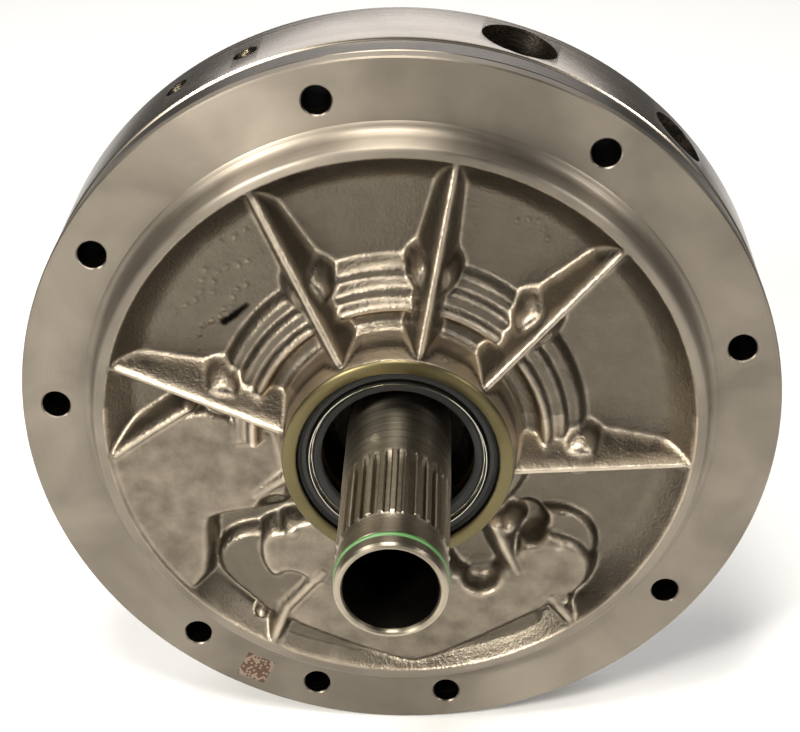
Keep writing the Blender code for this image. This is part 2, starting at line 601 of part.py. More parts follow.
def stator_tube(finish):
    """The hollow shaft: plain lead with a ring groove, splines, plain neck and the pressed rear part."""
    rear = REAR_END + TUBE_REAR_GAP
    neck = SUPPORT_FRONT - 1.0
    ring_half = TUBE_RING_WIRE + 0.25
    floor = TUBE_TIP_RADIUS - 2 * TUBE_RING_WIRE - 0.1
    profile = [(TUBE_TIP_RADIUS - 1.2, TUBE_TIP), (TUBE_TIP_RADIUS, TUBE_TIP - 1.2),
               (TUBE_TIP_RADIUS, RING_GROOVE_HEIGHT + ring_half), (floor, RING_GROOVE_HEIGHT + ring_half),
               (floor, RING_GROOVE_HEIGHT - ring_half), (TUBE_TIP_RADIUS, RING_GROOVE_HEIGHT - ring_half),
               (TUBE_TIP_RADIUS - 1.0, TUBE_SPLINE_START + 1.0), (TUBE_SPLINE_RADIUS, TUBE_SPLINE_START),
               (TUBE_SPLINE_RADIUS, TUBE_SPLINE_END), (TUBE_PLAIN_RADIUS, TUBE_SPLINE_END - 0.5),
               (TUBE_PLAIN_RADIUS, neck), (TUBE_PRESS_RADIUS, neck), (TUBE_PRESS_RADIUS, rear),
               (TUBE_BORE, rear), (TUBE_BORE, TUBE_TIP - 1.0), (TUBE_BORE + 1.0, TUBE_TIP)]
    tube = turned("stator_tube", profile, finish, SPLINE_COUNT)
    root = TUBE_SPLINE_RADIUS - SPLINE_DEPTH
    mouth = TUBE_SPLINE_RADIUS + OVERCUT
    groove = rib("groove_one", (root, 0), (mouth, 0), TUBE_SPLINE_START + OVERCUT,
                 TUBE_SPLINE_START + OVERCUT, TUBE_SPLINE_END, SPLINE_GROOVE * 0.7, SPLINE_GROOVE * 0.7)
    for vert in groove.data.vertices:
        if vert.co.x > TUBE_SPLINE_RADIUS * MM:
            vert.co.y *= 1.9
    grooves = group("spline_grooves", groove,
                    [Matrix.Rotation(2 * math.pi * n / SPLINE_COUNT, 4, "Z") for n in range(SPLINE_COUNT)])
    cut(tube, grooves)
    return tube


def converter_seal(steel, rubber, spring):
    """The lip seal for the converter's hub: pressed steel case, rubber lips and garter spring."""
    case_out = SEAL_BORE - PLATE_GAP
    low = SEAL_SHOULDER + PLATE_GAP
    high = HUB_HEIGHT - 0.8
    wall = SEAL_WALL
    turned("seal_case", ((case_out, high), (case_out, low), (SEAL_LIP_RADIUS + 3.5, low),
                         (SEAL_LIP_RADIUS + 3.5, low + wall), (case_out - wall, low + wall),
                         (case_out - wall, high)), steel, SMALL_STEPS)
    body_out = case_out - wall - PLATE_GAP
    foot = low + wall + PLATE_GAP
    turned("seal_lip", ((body_out, high - 1.2), (body_out, foot), (SEAL_LIP_RADIUS + 2.4, foot),
                        (SEAL_LIP_RADIUS + 2.0, foot + 1.6), (SEAL_LIP_RADIUS, foot + 3.0),
                        (SEAL_LIP_RADIUS + 1.4, foot + 4.6), (SEAL_LIP_RADIUS + 3.4, foot + 4.6),
                        (SEAL_LIP_RADIUS + 3.9, foot + 2.4), (body_out - 1.5, foot + 2.4),
                        (body_out - 1.5, high - 2.3), (SEAL_LIP_RADIUS + 0.8, high - 1.9),
                        (SEAL_LIP_RADIUS + 1.2, high - 1.0)), rubber, SMALL_STEPS)
    round_ring("garter_spring", 0.65, SEAL_LIP_RADIUS + 2.7, foot + 5.4, spring, SMALL_STEPS)


def tube_fittings(rubber, bronze):
    """What the tube carries: the green ring at its tip and two plain bushes for the input shaft."""
    round_ring("tube_ring", TUBE_RING_WIRE, TUBE_TIP_RADIUS - TUBE_RING_WIRE + 0.35,
               RING_GROOVE_HEIGHT, rubber, SMALL_STEPS)
    outer = TUBE_BORE - PLATE_GAP
    rear = REAR_END + TUBE_REAR_GAP + 4
    for name, top in (("input_bush_front", FRONT_BUSH_HEIGHT), ("input_bush_rear", rear + BUSH_LENGTH)):
        ring(name, BUSH_BORE, outer, top - BUSH_LENGTH, top, bronze, SMALL_STEPS)


def rear_fittings(ring_finish, washer_finish):
    """Clutch sealing rings in the rear hub's grooves, and the thrust washer round its foot."""
    outer = REAR_HUB_RADIUS + RING_PROUD
    inner = REAR_HUB_RADIUS - RING_DEPTH + RING_GAP
    for number in range(RING_COUNT):
        middle = SUPPORT_BACK - RING_FIRST - number * RING_PITCH
        ring(f"clutch_ring_{number + 1}", inner, outer, middle - RING_WIDTH / 2, middle + RING_WIDTH / 2,
             ring_finish, SMALL_STEPS)
    top = SUPPORT_BACK - PLATE_GAP
    ring("thrust_washer", REAR_HUB_RADIUS + 0.5, WASHER_OUTER, top - WASHER_THICKNESS, top,
         washer_finish, SMALL_STEPS)


def fasteners(steel, bright):
    """The bolts that hold the three plates together from behind, the two dowels and the plug balls."""
    seat = SUPPORT_BACK - PLATE_GAP
    shank = rod("bolt_shank", BOLT_RADIUS, (0, 0, seat - 1), (0, 0, FLANGE_BACK + BOLT_BITE), steps=12)
    collar = rod("bolt_collar", BOLT_FLANGE_RADIUS, (0, 0, seat - BOLT_FLANGE_THICKNESS), (0, 0, seat),
                 steps=18)
    head = rod("bolt_head", BOLT_HEAD_ACROSS / math.sqrt(3), (0, 0, seat - BOLT_HEAD_HEIGHT),
               (0, 0, seat - 0.4), steps=6)
    join(collar, shank, head)
    for number, angle in enumerate(BOLT_ANGLES):
        group(f"assembly_bolt_{number + 1}", collar,
              [Matrix.Translation(at_angle(BOSS_CIRCLE, angle) * MM)], steel)
    for number, angle in enumerate(DOWEL_ANGLES):
        rod(f"dowel_pin_{number + 1}", DOWEL_RADIUS,
            at_angle(DOWEL_CIRCLE, angle, SUPPORT_FRONT - DOWEL_DEPTH),
            at_angle(DOWEL_CIRCLE, angle, FLANGE_BACK + DOWEL_BITE), bright)
    for number, (angle, height) in enumerate(PLUGGED_HOLES):
        ball(f"plug_ball_{number + 1}", PLUG_BALL_RADIUS, at_angle(PLUG_BALL_SEAT, angle, height), bright)


def relief_valve(bright, spring_finish, plug_finish):
    """Ball, spring and plug, in the bore that comes up from the rim's lowest point."""
    down = 270.0
    rest = math.sqrt(RELIEF_BALL ** 2 - RELIEF_SEAT_BORE ** 2) + PLATE_GAP
    ball_radius = RELIEF_SEAT + rest
    ball("relief_ball", RELIEF_BALL, at_angle(ball_radius, down, RELIEF_HEIGHT), bright)
    plug_top = SUPPORT_RADIUS - 0.8 - RELIEF_PLUG_LENGTH
    rod("relief_plug", RELIEF_BORE - PLATE_GAP, at_angle(plug_top, down, RELIEF_HEIGHT),
        at_angle(plug_top + RELIEF_PLUG_LENGTH, down, RELIEF_HEIGHT), plug_finish, 16)
    # the spring's inner turns sit round the ball's shoulder, where the ball is as wide as the coil
    shoulder = math.sqrt(RELIEF_BALL ** 2 - (RELIEF_SPRING_RADIUS - RELIEF_SPRING_WIRE) ** 2)
    start = ball_radius + shoulder + RELIEF_SPRING_WIRE + PLATE_GAP
    end = plug_top - RELIEF_SPRING_WIRE - PLATE_GAP
    curve = bpy.data.curves.new("relief_spring", "CURVE")
    curve.dimensions = "3D"
    curve.bevel_depth = RELIEF_SPRING_WIRE * MM
    curve.bevel_resolution = 0
    curve.use_fill_caps = True
    spline = curve.splines.new("POLY")
    steps = 10 * RELIEF_SPRING_TURNS
    spline.points.add(steps)
    for n, point in enumerate(spline.points):
        turn = 2 * math.pi * n / 10
        along = start + (end - start) * n / steps
        point.co = (RELIEF_SPRING_RADIUS * math.cos(turn) * MM, -along * MM,
                    (RELIEF_HEIGHT + RELIEF_SPRING_RADIUS * math.sin(turn)) * MM, 1)
    spring = bpy.data.objects.new("relief_spring", curve)
    pump.objects.link(spring)
    spring.parent = axis_frame
    curve.materials.append(spring_finish)


def shade_round():
    """Smooth shading on every turned or round piece, with its edges kept sharp."""
    for item in pump.objects:
        if item.type == "MESH":
            item.data.shade_smooth()
            item.data.set_sharp_from_angle(angle=math.radians(35))


def main():
    start_scene()
    cast = material("cast_aluminium", (0.50, 0.46, 0.42), 0.38, 1.0)
    machined = material("machined_aluminium", (0.62, 0.60, 0.58), 0.28, 1.0)
    steel = material("ground_steel", (0.42, 0.40, 0.36), 0.25, 1.0)
    sintered = material("sintered_steel", (0.30, 0.29, 0.28), 0.45, 1.0)
    zinc = material("zinc_steel", (0.55, 0.54, 0.52), 0.35, 1.0)
    bronze = material("bearing_bronze", (0.60, 0.42, 0.22), 0.35, 1.0)
    black_rubber = material("black_rubber", (0.02, 0.02, 0.02), 0.6, 0.0)
    green_rubber = material("green_rubber", (0.10, 0.35, 0.08), 0.5, 0.0)
    ring_plastic = material("ring_plastic", (0.05, 0.05, 0.05), 0.4, 0.0)
    washer_plastic = material("washer_plastic", (0.60, 0.52, 0.38), 0.5, 0.0)

    front_housing(cast)
    pump_body(machined)
    rear_support(machined)
    stator_tube(steel)
    rotors(sintered, sintered)
    round_ring("case_ring", CASE_RING_WIRE, FLANGE_RADIUS - BODY_INSET - CASE_RING_WIRE - 0.35,
               BODY_FRONT - CASE_RING_WIRE - 0.2, black_rubber)
    converter_seal(zinc, black_rubber, steel)
    ring("hub_bushing", CONVERTER_HUB_RADIUS, BUSHING_RADIUS - PLATE_GAP,
         SEAL_SHOULDER - 1 - BUSHING_LENGTH, SEAL_SHOULDER - 1, bronze, SMALL_STEPS)
    tube_fittings(green_rubber, bronze)
    rear_fittings(ring_plastic, washer_plastic)
    fasteners(zinc, steel)
    relief_valve(steel, steel, zinc)
    shade_round()


main()
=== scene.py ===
"""The looks of the front oil pump, laid out as a Blender add-on and run as a script."""

import math

import bpy
import numpy as np
from bpy.props import FloatProperty, FloatVectorProperty, IntProperty, PointerProperty
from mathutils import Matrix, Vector


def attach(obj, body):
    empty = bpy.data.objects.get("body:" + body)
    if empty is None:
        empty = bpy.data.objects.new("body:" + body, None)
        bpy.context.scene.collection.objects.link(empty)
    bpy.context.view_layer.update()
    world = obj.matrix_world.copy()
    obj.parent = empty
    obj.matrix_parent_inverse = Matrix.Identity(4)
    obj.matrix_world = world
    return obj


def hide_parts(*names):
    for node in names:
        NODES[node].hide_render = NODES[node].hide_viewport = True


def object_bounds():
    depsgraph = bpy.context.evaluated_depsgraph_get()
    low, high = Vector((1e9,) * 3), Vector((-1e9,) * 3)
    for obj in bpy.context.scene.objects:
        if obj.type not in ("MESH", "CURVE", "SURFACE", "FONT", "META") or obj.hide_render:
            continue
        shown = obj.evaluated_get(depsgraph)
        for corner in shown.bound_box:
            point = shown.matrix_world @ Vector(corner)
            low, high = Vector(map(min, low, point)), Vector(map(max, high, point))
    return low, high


bl_info = {
    "name": "Oil Pump Looks",
    "version": (1, 0, 0),
    "blender": (4, 5, 0),
    "location": "View3D > Sidebar > Oil Pump",
    "description": "Builds the visible pieces of a transmission oil pump round its fixed frame",
    "category": "Object",
}

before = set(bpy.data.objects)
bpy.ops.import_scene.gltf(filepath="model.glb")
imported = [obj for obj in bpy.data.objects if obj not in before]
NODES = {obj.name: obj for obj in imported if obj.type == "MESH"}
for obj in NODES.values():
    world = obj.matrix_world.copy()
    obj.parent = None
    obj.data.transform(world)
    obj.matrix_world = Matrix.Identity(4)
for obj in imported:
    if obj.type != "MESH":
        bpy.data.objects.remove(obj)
CAD_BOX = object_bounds()
MM = 0.001
BODY = "pump"

# Places on the casting are (across, up) in millimetres from the axis, seen from the front, and
# heights are forwards from the flange's face. The pump's axis lies along Y and its front faces -Y.
RIB_ANGLES = (43.5, 79.7, 118.5, 166.0, 353.7)
BOSS_CIRCLE = 56.5
CASE_HOLE_CIRCLE = 109.1
CASE_HOLE_RADIUS = 4.5
CASE_HOLE_ANGLES = (14.6, 56.6, 102.8, 148.8, 177.8, 231.0, 254.8, 278.4, 324.0)
BOLT_ANGLES = RIB_ANGLES + (196.0, 228.0, 282.0)
PORTS = ((72.9, -30.2, 12.0, 88.0), (44.9, -31.0, 10.0, 78.0))      # angle, height, radius, floor
PLUGGED_HOLES = ((113.4, -30.4), (125.5, -33.8))
PLUG_BALL_SEAT = 114.6
RELIEF_ANGLE, RELIEF_HEIGHT = 270, -28
RIM_OUTSIDE = 124               # cutters for the rim's openings start out here
SUPPORT_BACK = -46.9
CLUTCH_RING_HEIGHTS = [SUPPORT_BACK - 9.0 - 7.5 * n for n in range(4)]

SIDE_FLAT = ((-36, -3), (-50, 3), (-66, 7.5), (-88, -9), (-99, -12), (-99, -40), (-80, -60), (-71, -65),
             (-67, -59), (-63, -53), (-63, -34.5), (-60, -31.5), (-45, -28.5), (-36, -26.5))
LOW_PAD = ((-59, -49), (-57, -45), (-52.5, -41.2), (-47, -40), (-40, -40), (-33, -45), (-30, -55),
           (-35, -62), (-41, -73), (-47, -66.5), (-57, -57))
INNER_PAD = ((-44, -39.5), (-36, -36), (-24, -32), (0, -38), (0, -60), (-27, -58), (-34, -52),
             (-42, -54), (-44.5, -48))
GALLERY_PAD = ((-27, -58), (-36, -69), (-38.5, -72.5), (-20, -81), (0, -89), (8, -89.5), (25, -80),
               (45, -68), (52, -64), (60, -58), (62, -50), (59, -43.5), (54, -40), (46, -38.5),
               (38, -43), (36, -50), (32, -57), (18, -57), (10, -40), (-10, -38))


def linear(code):
    """An sRGB hex colour as linear light with alpha."""
    parts = [int(code[n:n + 2], 16) / 255 for n in (1, 3, 5)]
    return [p / 12.92 if p <= 0.04045 else ((p + 0.055) / 1.055) ** 2.4 for p in parts] + [1.0]


class PumpSizes(bpy.types.PropertyGroup):
    """Sizes of the finer pieces, which stay inside the frame's own sizes."""

    grain: FloatProperty(name="Cast grain", description="Width of the blasted grain on the casting",
                         default=0.0011, min=0.0002, max=0.003, unit="LENGTH")
    casting_columns: IntProperty(name="Casting columns", description="Columns of faces round the casting",
                                 default=840, min=200, max=860)
    rib_inner: FloatProperty(name="Rib height at the hub", description="Forwards of the flange's face",
                             default=0.0235, min=0.015, max=0.0255, unit="LENGTH")
    rib_outer: FloatProperty(name="Rib height at the pilot", description="Forwards of the flange's face",
                             default=0.0082, min=0.004, max=0.009, unit="LENGTH")
    teeth: IntProperty(name="Spline teeth", description="Teeth round the stator tube", default=28,
                       min=20, max=36)


class PumpColours(bpy.types.PropertyGroup):
    """Colours of the finishes."""

    cast: FloatVectorProperty(name="Cast aluminium", description="Blasted skin of the casting",
                              subtype="COLOR", default=linear("#5f584e")[:3], min=0, max=1)
    machined: FloatVectorProperty(name="Machined aluminium", description="Faces turned on a lathe",
                                  subtype="COLOR", default=linear("#837b70")[:3], min=0, max=1)
    steel: FloatVectorProperty(name="Tube steel", description="Ground and oiled steel of the tube",
                               subtype="COLOR", default=linear("#948b7b")[:3], min=0, max=1)
    ring: FloatVectorProperty(name="Tube ring", description="Rubber ring near the tube's tip",
                              subtype="COLOR", default=linear("#3f6b38")[:3], min=0, max=1)
    floor: FloatVectorProperty(name="Floor", description="Paper of the studio floor",
                               subtype="COLOR", default=(0.9, 0.9, 0.9), min=0, max=1)


# ---------------------------------------------------------------- modelling by operators

def deselect():
    """Leaves edit mode and selects nothing."""
    if bpy.context.object and bpy.context.object.mode != "OBJECT":
        bpy.ops.object.mode_set(mode="OBJECT")
    bpy.ops.object.select_all(action="DESELECT")


def start_piece(name):
    """Names the primitive that was just added and returns it."""
    piece = bpy.context.object
    piece.name = name
    piece.data.name = name
    return piece


def choose(piece):
    """Makes the piece the only one selected, and the active one."""
    deselect()
    piece.select_set(True)
    bpy.context.view_layer.objects.active = piece


def settle(piece):
    """Puts the piece's place into its mesh, so that its object sits at the origin."""
    choose(piece)
    bpy.ops.object.transform_apply(location=True, rotation=True, scale=True)
    return piece


def copied(piece, name, move=(0, 0, 0), turn=0.0):
    """Another of the piece with its own mesh, moved in metres and turned in degrees about the axis."""
    choose(piece)
    bpy.ops.object.duplicate(linked=False)
    twin = start_piece(name)
    twin.location = move
    twin.rotation_euler = (0, -math.radians(turn), 0)
    return settle(twin)


def bevelled(piece, width):
    choose(piece)
    step = piece.modifiers.new("edges", "BEVEL")
    step.width, step.segments, step.limit_method = width, 2, "ANGLE"
    bpy.ops.object.modifier_apply(modifier=step.name)
    return piece


def finish_piece(piece, finishes, replaces=(), angle=32):
    """Smooths the piece, gives it its finishes, puts it under its body and hides the frame's nodes that it
    replaces.
    """
    settle(piece)
    bpy.ops.object.shade_smooth_by_angle(angle=math.radians(angle))
    piece.data.materials.clear()
    for one in finishes:
        piece.data.materials.append(FINISHES[one])
    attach(piece, BODY)
    if replaces:
        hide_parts(*replaces)
    return piece


def turned(name, profile, steps=192):
    """A closed profile of (radius, height) points in millimetres, spun about the pump's axis."""
    deselect()
    first = profile[0]
    bpy.ops.mesh.primitive_plane_add(size=MM, location=(0, 0, 0))
    piece = start_piece(name)
    bpy.ops.object.mode_set(mode="EDIT")
    bpy.ops.mesh.select_all(action="SELECT")
    bpy.ops.mesh.merge(type="CENTER")
    bpy.ops.transform.translate(value=(first[0] * MM, -first[1] * MM, 0))
    for here, following in zip(profile, profile[1:]):
        step = ((following[0] - here[0]) * MM, (here[1] - following[1]) * MM, 0)
        bpy.ops.mesh.extrude_vertices_move(TRANSFORM_OT_translate={"value": step})
    bpy.ops.mesh.select_all(action="SELECT")
    bpy.ops.mesh.edge_face_add()
    bpy.ops.mesh.delete(type="ONLY_FACE")
    bpy.ops.mesh.select_all(action="SELECT")
    bpy.ops.mesh.spin(steps=steps, angle=math.tau, center=(0, 0, 0), axis=(0, 1, 0))
    bpy.ops.mesh.select_all(action="SELECT")
    bpy.ops.mesh.remove_doubles(threshold=0.000002)
    bpy.ops.mesh.normals_make_consistent(inside=False)
    bpy.ops.object.mode_set(mode="OBJECT")
    return piece


def drum(name, radius, start, end, sides=48):
    """A cylinder between two points in metres."""
    start, end = Vector(start), Vector(end)
    deselect()
    bpy.ops.mesh.primitive_cylinder_add(vertices=sides, radius=radius, depth=(end - start).length,
                                        location=(start + end) / 2,
                                        rotation=(end - start).to_track_quat("Z", "Y").to_euler())
    return settle(start_piece(name))


def apply_boolean(piece, tool, operation="DIFFERENCE"):
    """Cuts the tool out of the piece, or joins it on, and removes the tool."""
    choose(piece)
    step = piece.modifiers.new("cut", "BOOLEAN")
    step.operation = operation
    step.object = tool
    step.solver = "EXACT"
    bpy.ops.object.modifier_apply(modifier=step.name)
    bpy.data.objects.remove(tool)


def joined(pieces, name):
    """Several separate pieces as one object."""
    deselect()
    for piece in pieces:
        piece.select_set(True)
    bpy.context.view_layer.objects.active = pieces[0]
    bpy.ops.object.join()
    return start_piece(name)


def polar(radius, angle, forward=0.0):
    """A point in metres from a radius, an angle and a height in millimetres."""
    turn = math.radians(angle)
    return Vector((radius * math.cos(turn), -forward, radius * math.sin(turn))) * MM


# ---------------------------------------------------------------- materials

def add_node(tree, kind, settings=None, inputs=None):
    """Adds a node, with its settings, its socket values and its links."""
    node = tree.nodes.new("ShaderNode" + kind)
    for key, value in (settings or {}).items():
        setattr(node, key, value)
    for key, value in (inputs or {}).items():
        if isinstance(value, bpy.types.NodeSocket):
            tree.links.new(value, node.inputs[key])
        else:
            node.inputs[key].default_value = value
    return node


def new_material(name, **values):
    """A material with its shader's own sockets set. Returns it with its tree and its shader."""
    made = bpy.data.materials.new(name)
    made.use_nodes = True
    tree = made.node_tree
    shader = tree.nodes["Principled BSDF"]
    for key, value in values.items():
        shader.inputs[key.replace("_", " ")].default_value = value
    return made, tree, shader


def shaded(colour, share):
    """A colour with alpha, made lighter or darker by a share."""
    return [min(1.0, c * share) for c in colour[:3]] + [1.0]


def cast_metal(name, colour, grain, rough=0.37):
    """Die-cast aluminium, shot blasted and tumbled: a fine peened grain that sparkles, brighter on raised
    edges, partly scuffed by tumbling and partly a painted highlight, and darker in the corners as painted
    shade."""
    made, tree, shader = new_material(name, Metallic=1.0)
    place = add_node(tree, "TexCoord").outputs["Object"]
    # dents of blasting grit, drawn wider than the real 0.4 mm or so, so that they show
    dents = add_node(tree, "TexNoise", {"noise_dimensions": "3D"},
                     {"Vector": place, "Scale": 1 / grain, "Detail": 3.0, "Roughness": 0.65})
    # the mould's skin is uneven over about 7 mm
    skin = add_node(tree, "TexNoise", {}, {"Vector": place, "Scale": 1 / 0.007, "Detail": 4.0})
    # how far each point stands out: scuffed edges with a painted highlight, and painted shade in the hollows
    tumbled_and_shaded = add_node(tree, "Attribute", {"attribute_name": "tumbled_and_painted_shade"}).outputs["Fac"]
    mottled = add_node(tree, "Math", {"operation": "MULTIPLY_ADD"},
                       {0: skin.outputs["Fac"], 1: 0.20, 2: tumbled_and_shaded}).outputs[0]
    low = add_node(tree, "MapRange", {}, {"Value": mottled, "From Min": 0.25, "From Max": 0.62})
    high = add_node(tree, "MapRange", {}, {"Value": mottled, "From Min": 0.62, "From Max": 0.98})
    # painted shade darkens the corners to 0.38 of the colour; raised edges brighten to 4.6 of it, partly
    # scuffing and partly a painted highlight
    corner_shade = add_node(tree, "Mix", {"data_type": "RGBA"},
                     {"Factor": low.outputs["Result"], 6: shaded(colour, 0.38), 7: shaded(colour, 1.0)})
    rubbed_and_highlit = add_node(tree, "Mix", {"data_type": "RGBA"},
                      {"Factor": high.outputs["Result"], 6: corner_shade.outputs[2], 7: shaded(colour, 4.6)})
    # an inspector's felt pen leaves one dead black stroke
    ink = add_node(tree, "Attribute", {"attribute_name": "ink"}).outputs["Fac"]
    marked = add_node(tree, "Mix", {"data_type": "RGBA"},
                      {"Factor": ink, 6: rubbed_and_highlit.outputs[2], 7: linear("#0b0908")})
    tree.links.new(marked.outputs[2], shader.inputs["Base Color"])
    gloss = add_node(tree, "MapRange", {}, {"Value": dents.outputs["Fac"], "From Min": 0.3, "From Max": 0.7,
                                            "To Min": rough - 0.09, "To Max": rough + 0.08})
    tree.links.new(gloss.outputs["Result"], shader.inputs["Roughness"])
    waves = add_node(tree, "Bump", {}, {"Height": skin.outputs["Fac"], "Distance": 0.0009,
                                        "Strength": 0.35})
    peened = add_node(tree, "Bump", {}, {"Height": dents.outputs["Fac"], "Distance": 0.00030,
                                         "Strength": 0.85, "Normal": waves.outputs["Normal"]})
    tree.links.new(peened.outputs["Normal"], shader.inputs["Normal"])
    return made


def turned_metal(name, colour, rough=0.3, feed=0.0006, groove=0.00002, tint=0.45, stain=0.6, streak=0.6):
    """Metal faced on a lathe: fine circles a feed apart, which draw the light out into rays from the
    centre, and a faint uneven bloom of oil."""
    made, tree, shader = new_material(name, Metallic=1.0, Anisotropic=streak, Anisotropic_Rotation=0.25)
    place = add_node(tree, "TexCoord").outputs["Object"]
    parts = add_node(tree, "SeparateXYZ", inputs={"Vector": place})
    flat = add_node(tree, "CombineXYZ", inputs={"X": parts.outputs["X"], "Y": parts.outputs["Z"]})
    radius = add_node(tree, "VectorMath", {"operation": "LENGTH"}, {0: flat.outputs[0]}).outputs["Value"]
    along_tool = add_node(tree, "CombineXYZ", inputs={"X": radius, "Y": parts.outputs["Y"]}).outputs[0]
    # the tool's circles are one feed apart, and vary in depth over a few turns
    lines = add_node(tree, "TexNoise", {"noise_dimensions": "2D"},
                     {"Vector": along_tool, "Scale": 1 / feed, "Detail": 2.0, "Roughness": 0.7})
    bloom = add_node(tree, "TexNoise", {}, {"Vector": place, "Scale": 1 / 0.034, "Detail": 3.0,
                                            "Distortion": 0.4})
    shade = add_node(tree, "MapRange", {}, {"Value": bloom.outputs["Fac"], "From Min": 0.4,
                                            "From Max": 0.7, "To Min": 0.0, "To Max": stain})
    mixed = add_node(tree, "Mix", {"data_type": "RGBA"},
                     {"Factor": shade.outputs["Result"], 6: shaded(colour, 1.0), 7: shaded(colour, tint)})
    tree.links.new(mixed.outputs[2], shader.inputs["Base Color"])
    gloss = add_node(tree, "MapRange", {}, {"Value": lines.outputs["Fac"], "From Min": 0.3, "From Max": 0.7,
                                            "To Min": rough - 0.05, "To Max": rough + 0.06})
    tree.links.new(gloss.outputs["Result"], shader.inputs["Roughness"])
    cut_lines = add_node(tree, "Bump", {}, {"Height": lines.outputs["Fac"], "Distance": groove,
                                            "Strength": 0.5})
    tree.links.new(cut_lines.outputs["Normal"], shader.inputs["Normal"])
    grain_way = add_node(tree, "Tangent", {"direction_type": "RADIAL", "axis": "Y"})
    tree.links.new(grain_way.outputs["Tangent"], shader.inputs["Tangent"])
    return made


def etched_metal(name):
    """Aluminium marked by a laser: square cells about 0.8 mm wide, burnt brown or left bare."""
    made, tree, shader = new_material(name, Metallic=0.6, Roughness=0.5)
    place = add_node(tree, "TexCoord").outputs["Object"]
    turned_square = add_node(tree, "Mapping", {}, {"Vector": place, "Rotation": (0, math.radians(26.5), 0)})
    cells = add_node(tree, "VectorMath", {"operation": "SNAP"},
                     {0: turned_square.outputs["Vector"], 1: (0.0008, 1.0, 0.0008)})
    burnt = add_node(tree, "TexWhiteNoise", {"noise_dimensions": "3D"}, {"Vector": cells.outputs[0]})
    edge = add_node(tree, "Math", {"operation": "GREATER_THAN"}, {0: burnt.outputs["Value"], 1: 0.38})
    mixed = add_node(tree, "Mix", {"data_type": "RGBA"},
                     {"Factor": edge.outputs[0], 6: linear("#7a6a5c"), 7: linear("#4c382b")})
    tree.links.new(mixed.outputs[2], shader.inputs["Base Color"])
    return made


def moulded(name, colour, rough, grain=0.0006, depth=0.00002, speck="#3a3a38"):
    """Moulded rubber or plastic: an even skin with a fine pebble and a little dust."""
    made, tree, shader = new_material(name, Metallic=0.0, IOR=1.5)
    place = add_node(tree, "TexCoord").outputs["Object"]
    pebble = add_node(tree, "TexNoise", {}, {"Vector": place, "Scale": 1 / grain, "Detail": 3.0})
    dust = add_node(tree, "TexNoise", {}, {"Vector": place, "Scale": 1 / 0.012, "Detail": 3.0})
    amount = add_node(tree, "MapRange", {}, {"Value": dust.outputs["Fac"], "From Min": 0.45,
                                             "From Max": 0.8, "To Min": 0.0, "To Max": 0.4})
    mixed = add_node(tree, "Mix", {"data_type": "RGBA"},
                     {"Factor": amount.outputs["Result"], 6: shaded(colour, 1.0), 7: linear(speck)})
    tree.links.new(mixed.outputs[2], shader.inputs["Base Color"])
    gloss = add_node(tree, "MapRange", {}, {"Value": pebble.outputs["Fac"], "To Min": rough - 0.06,
                                            "To Max": rough + 0.08})
    tree.links.new(gloss.outputs["Result"], shader.inputs["Roughness"])
    skin = add_node(tree, "Bump", {}, {"Height": pebble.outputs["Fac"], "Distance": depth, "Strength": 0.5})
    tree.links.new(skin.outputs["Normal"], shader.inputs["Normal"])
    return made


FINISHES = {}


def make_finishes(sizes, colours):
    """Every finish that the pieces use, by a short name."""
    machined, cast, steel = (list(c) for c in (colours.machined, colours.cast, colours.steel))
    FINISHES.update({
        "cast_aluminium": cast_metal("shot_blasted_cast_aluminium", cast, sizes.grain),
        "turned_aluminium": turned_metal("lathe_turned_aluminium", machined, 0.46, streak=0.8),
        # painted reflection: the hub's nose is tinted olive
        "nose_aluminium": turned_metal("fine_turned_hub_aluminium", linear("#61593f"), 0.4, 0.0004),
        # painted light: the rim's copy of the machined colour is made lighter
        "rim_aluminium": turned_metal("rim_turned_aluminium", shaded(machined, 1.15), 0.24, 0.0005, tint=0.7,
                                      streak=0.0),
        # painted shade: the middle plate's copy of the machined colour is made darker
        "dark_aluminium": turned_metal("dark_turned_aluminium", shaded(machined, 0.55), 0.3, 0.0007),
        # ground between centres: fine scratches round the axis under a warm oil film
        "ground_steel": turned_metal("ground_oiled_steel", steel, 0.31, 0.0003, 0.000012, 0.4, 0.6, 0.85),
        "bright_steel": turned_metal("bright_bearing_steel", linear("#a7a397"), 0.16, 0.0003, 0.00001,
                                     0.7, 0.3, 0.0),
        "sintered_steel": turned_metal("sintered_ground_steel", linear("#2c2a28"), 0.5, 0.0008, streak=0.0),
        "zinc_steel": turned_metal("zinc_plated_steel", linear("#8f8c84"), 0.3, 0.0009, streak=0.0),
        # painted shade: the bronze is darkened almost to black for the bushings deep in the hub
        "bronze": turned_metal("bearing_bronze_painted_shade", linear("#3a2c19"), 0.40, 0.0006, streak=0.2),
        "black_rubber": moulded("moulded_nitrile_rubber", linear("#070605"), 0.62, speck="#14110e"),
        "green_rubber": moulded("moulded_green_rubber", list(colours.ring), 0.45, speck="#7f9c70"),
        "ring_plastic": moulded("moulded_ring_plastic", linear("#1a1917"), 0.4),
        "washer_plastic": moulded("moulded_washer_plastic", linear("#a08c68"), 0.5, speck="#8d7c60"),
        # painted shade: a near-black finish for bore walls and hollows that lie in shadow
        "bore_painted_shade": turned_metal("dark_bore_painted_shade", linear("#1a1714"), 0.5, streak=0.0),
        "etched": etched_metal("laser_etched_aluminium"),
    })


# ---------------------------------------------------------------- the casting's relief

def smooth_max(a, b, blend):
    """The higher of two heights, with the corner between them filled over the blend's width."""
    share = np.clip(0.5 + 0.5 * (a - b) / blend, 0, 1)
    return b * (1 - share) + a * share + blend * share * (1 - share)


def smooth_min(a, b, blend):
    return -smooth_max(-a, -b, blend)


def soft(distance, width):
    """Zero inside an edge and the distance outside it, rounded over the given width."""
    return 0.5 * (distance + np.sqrt(distance ** 2 + width ** 2))


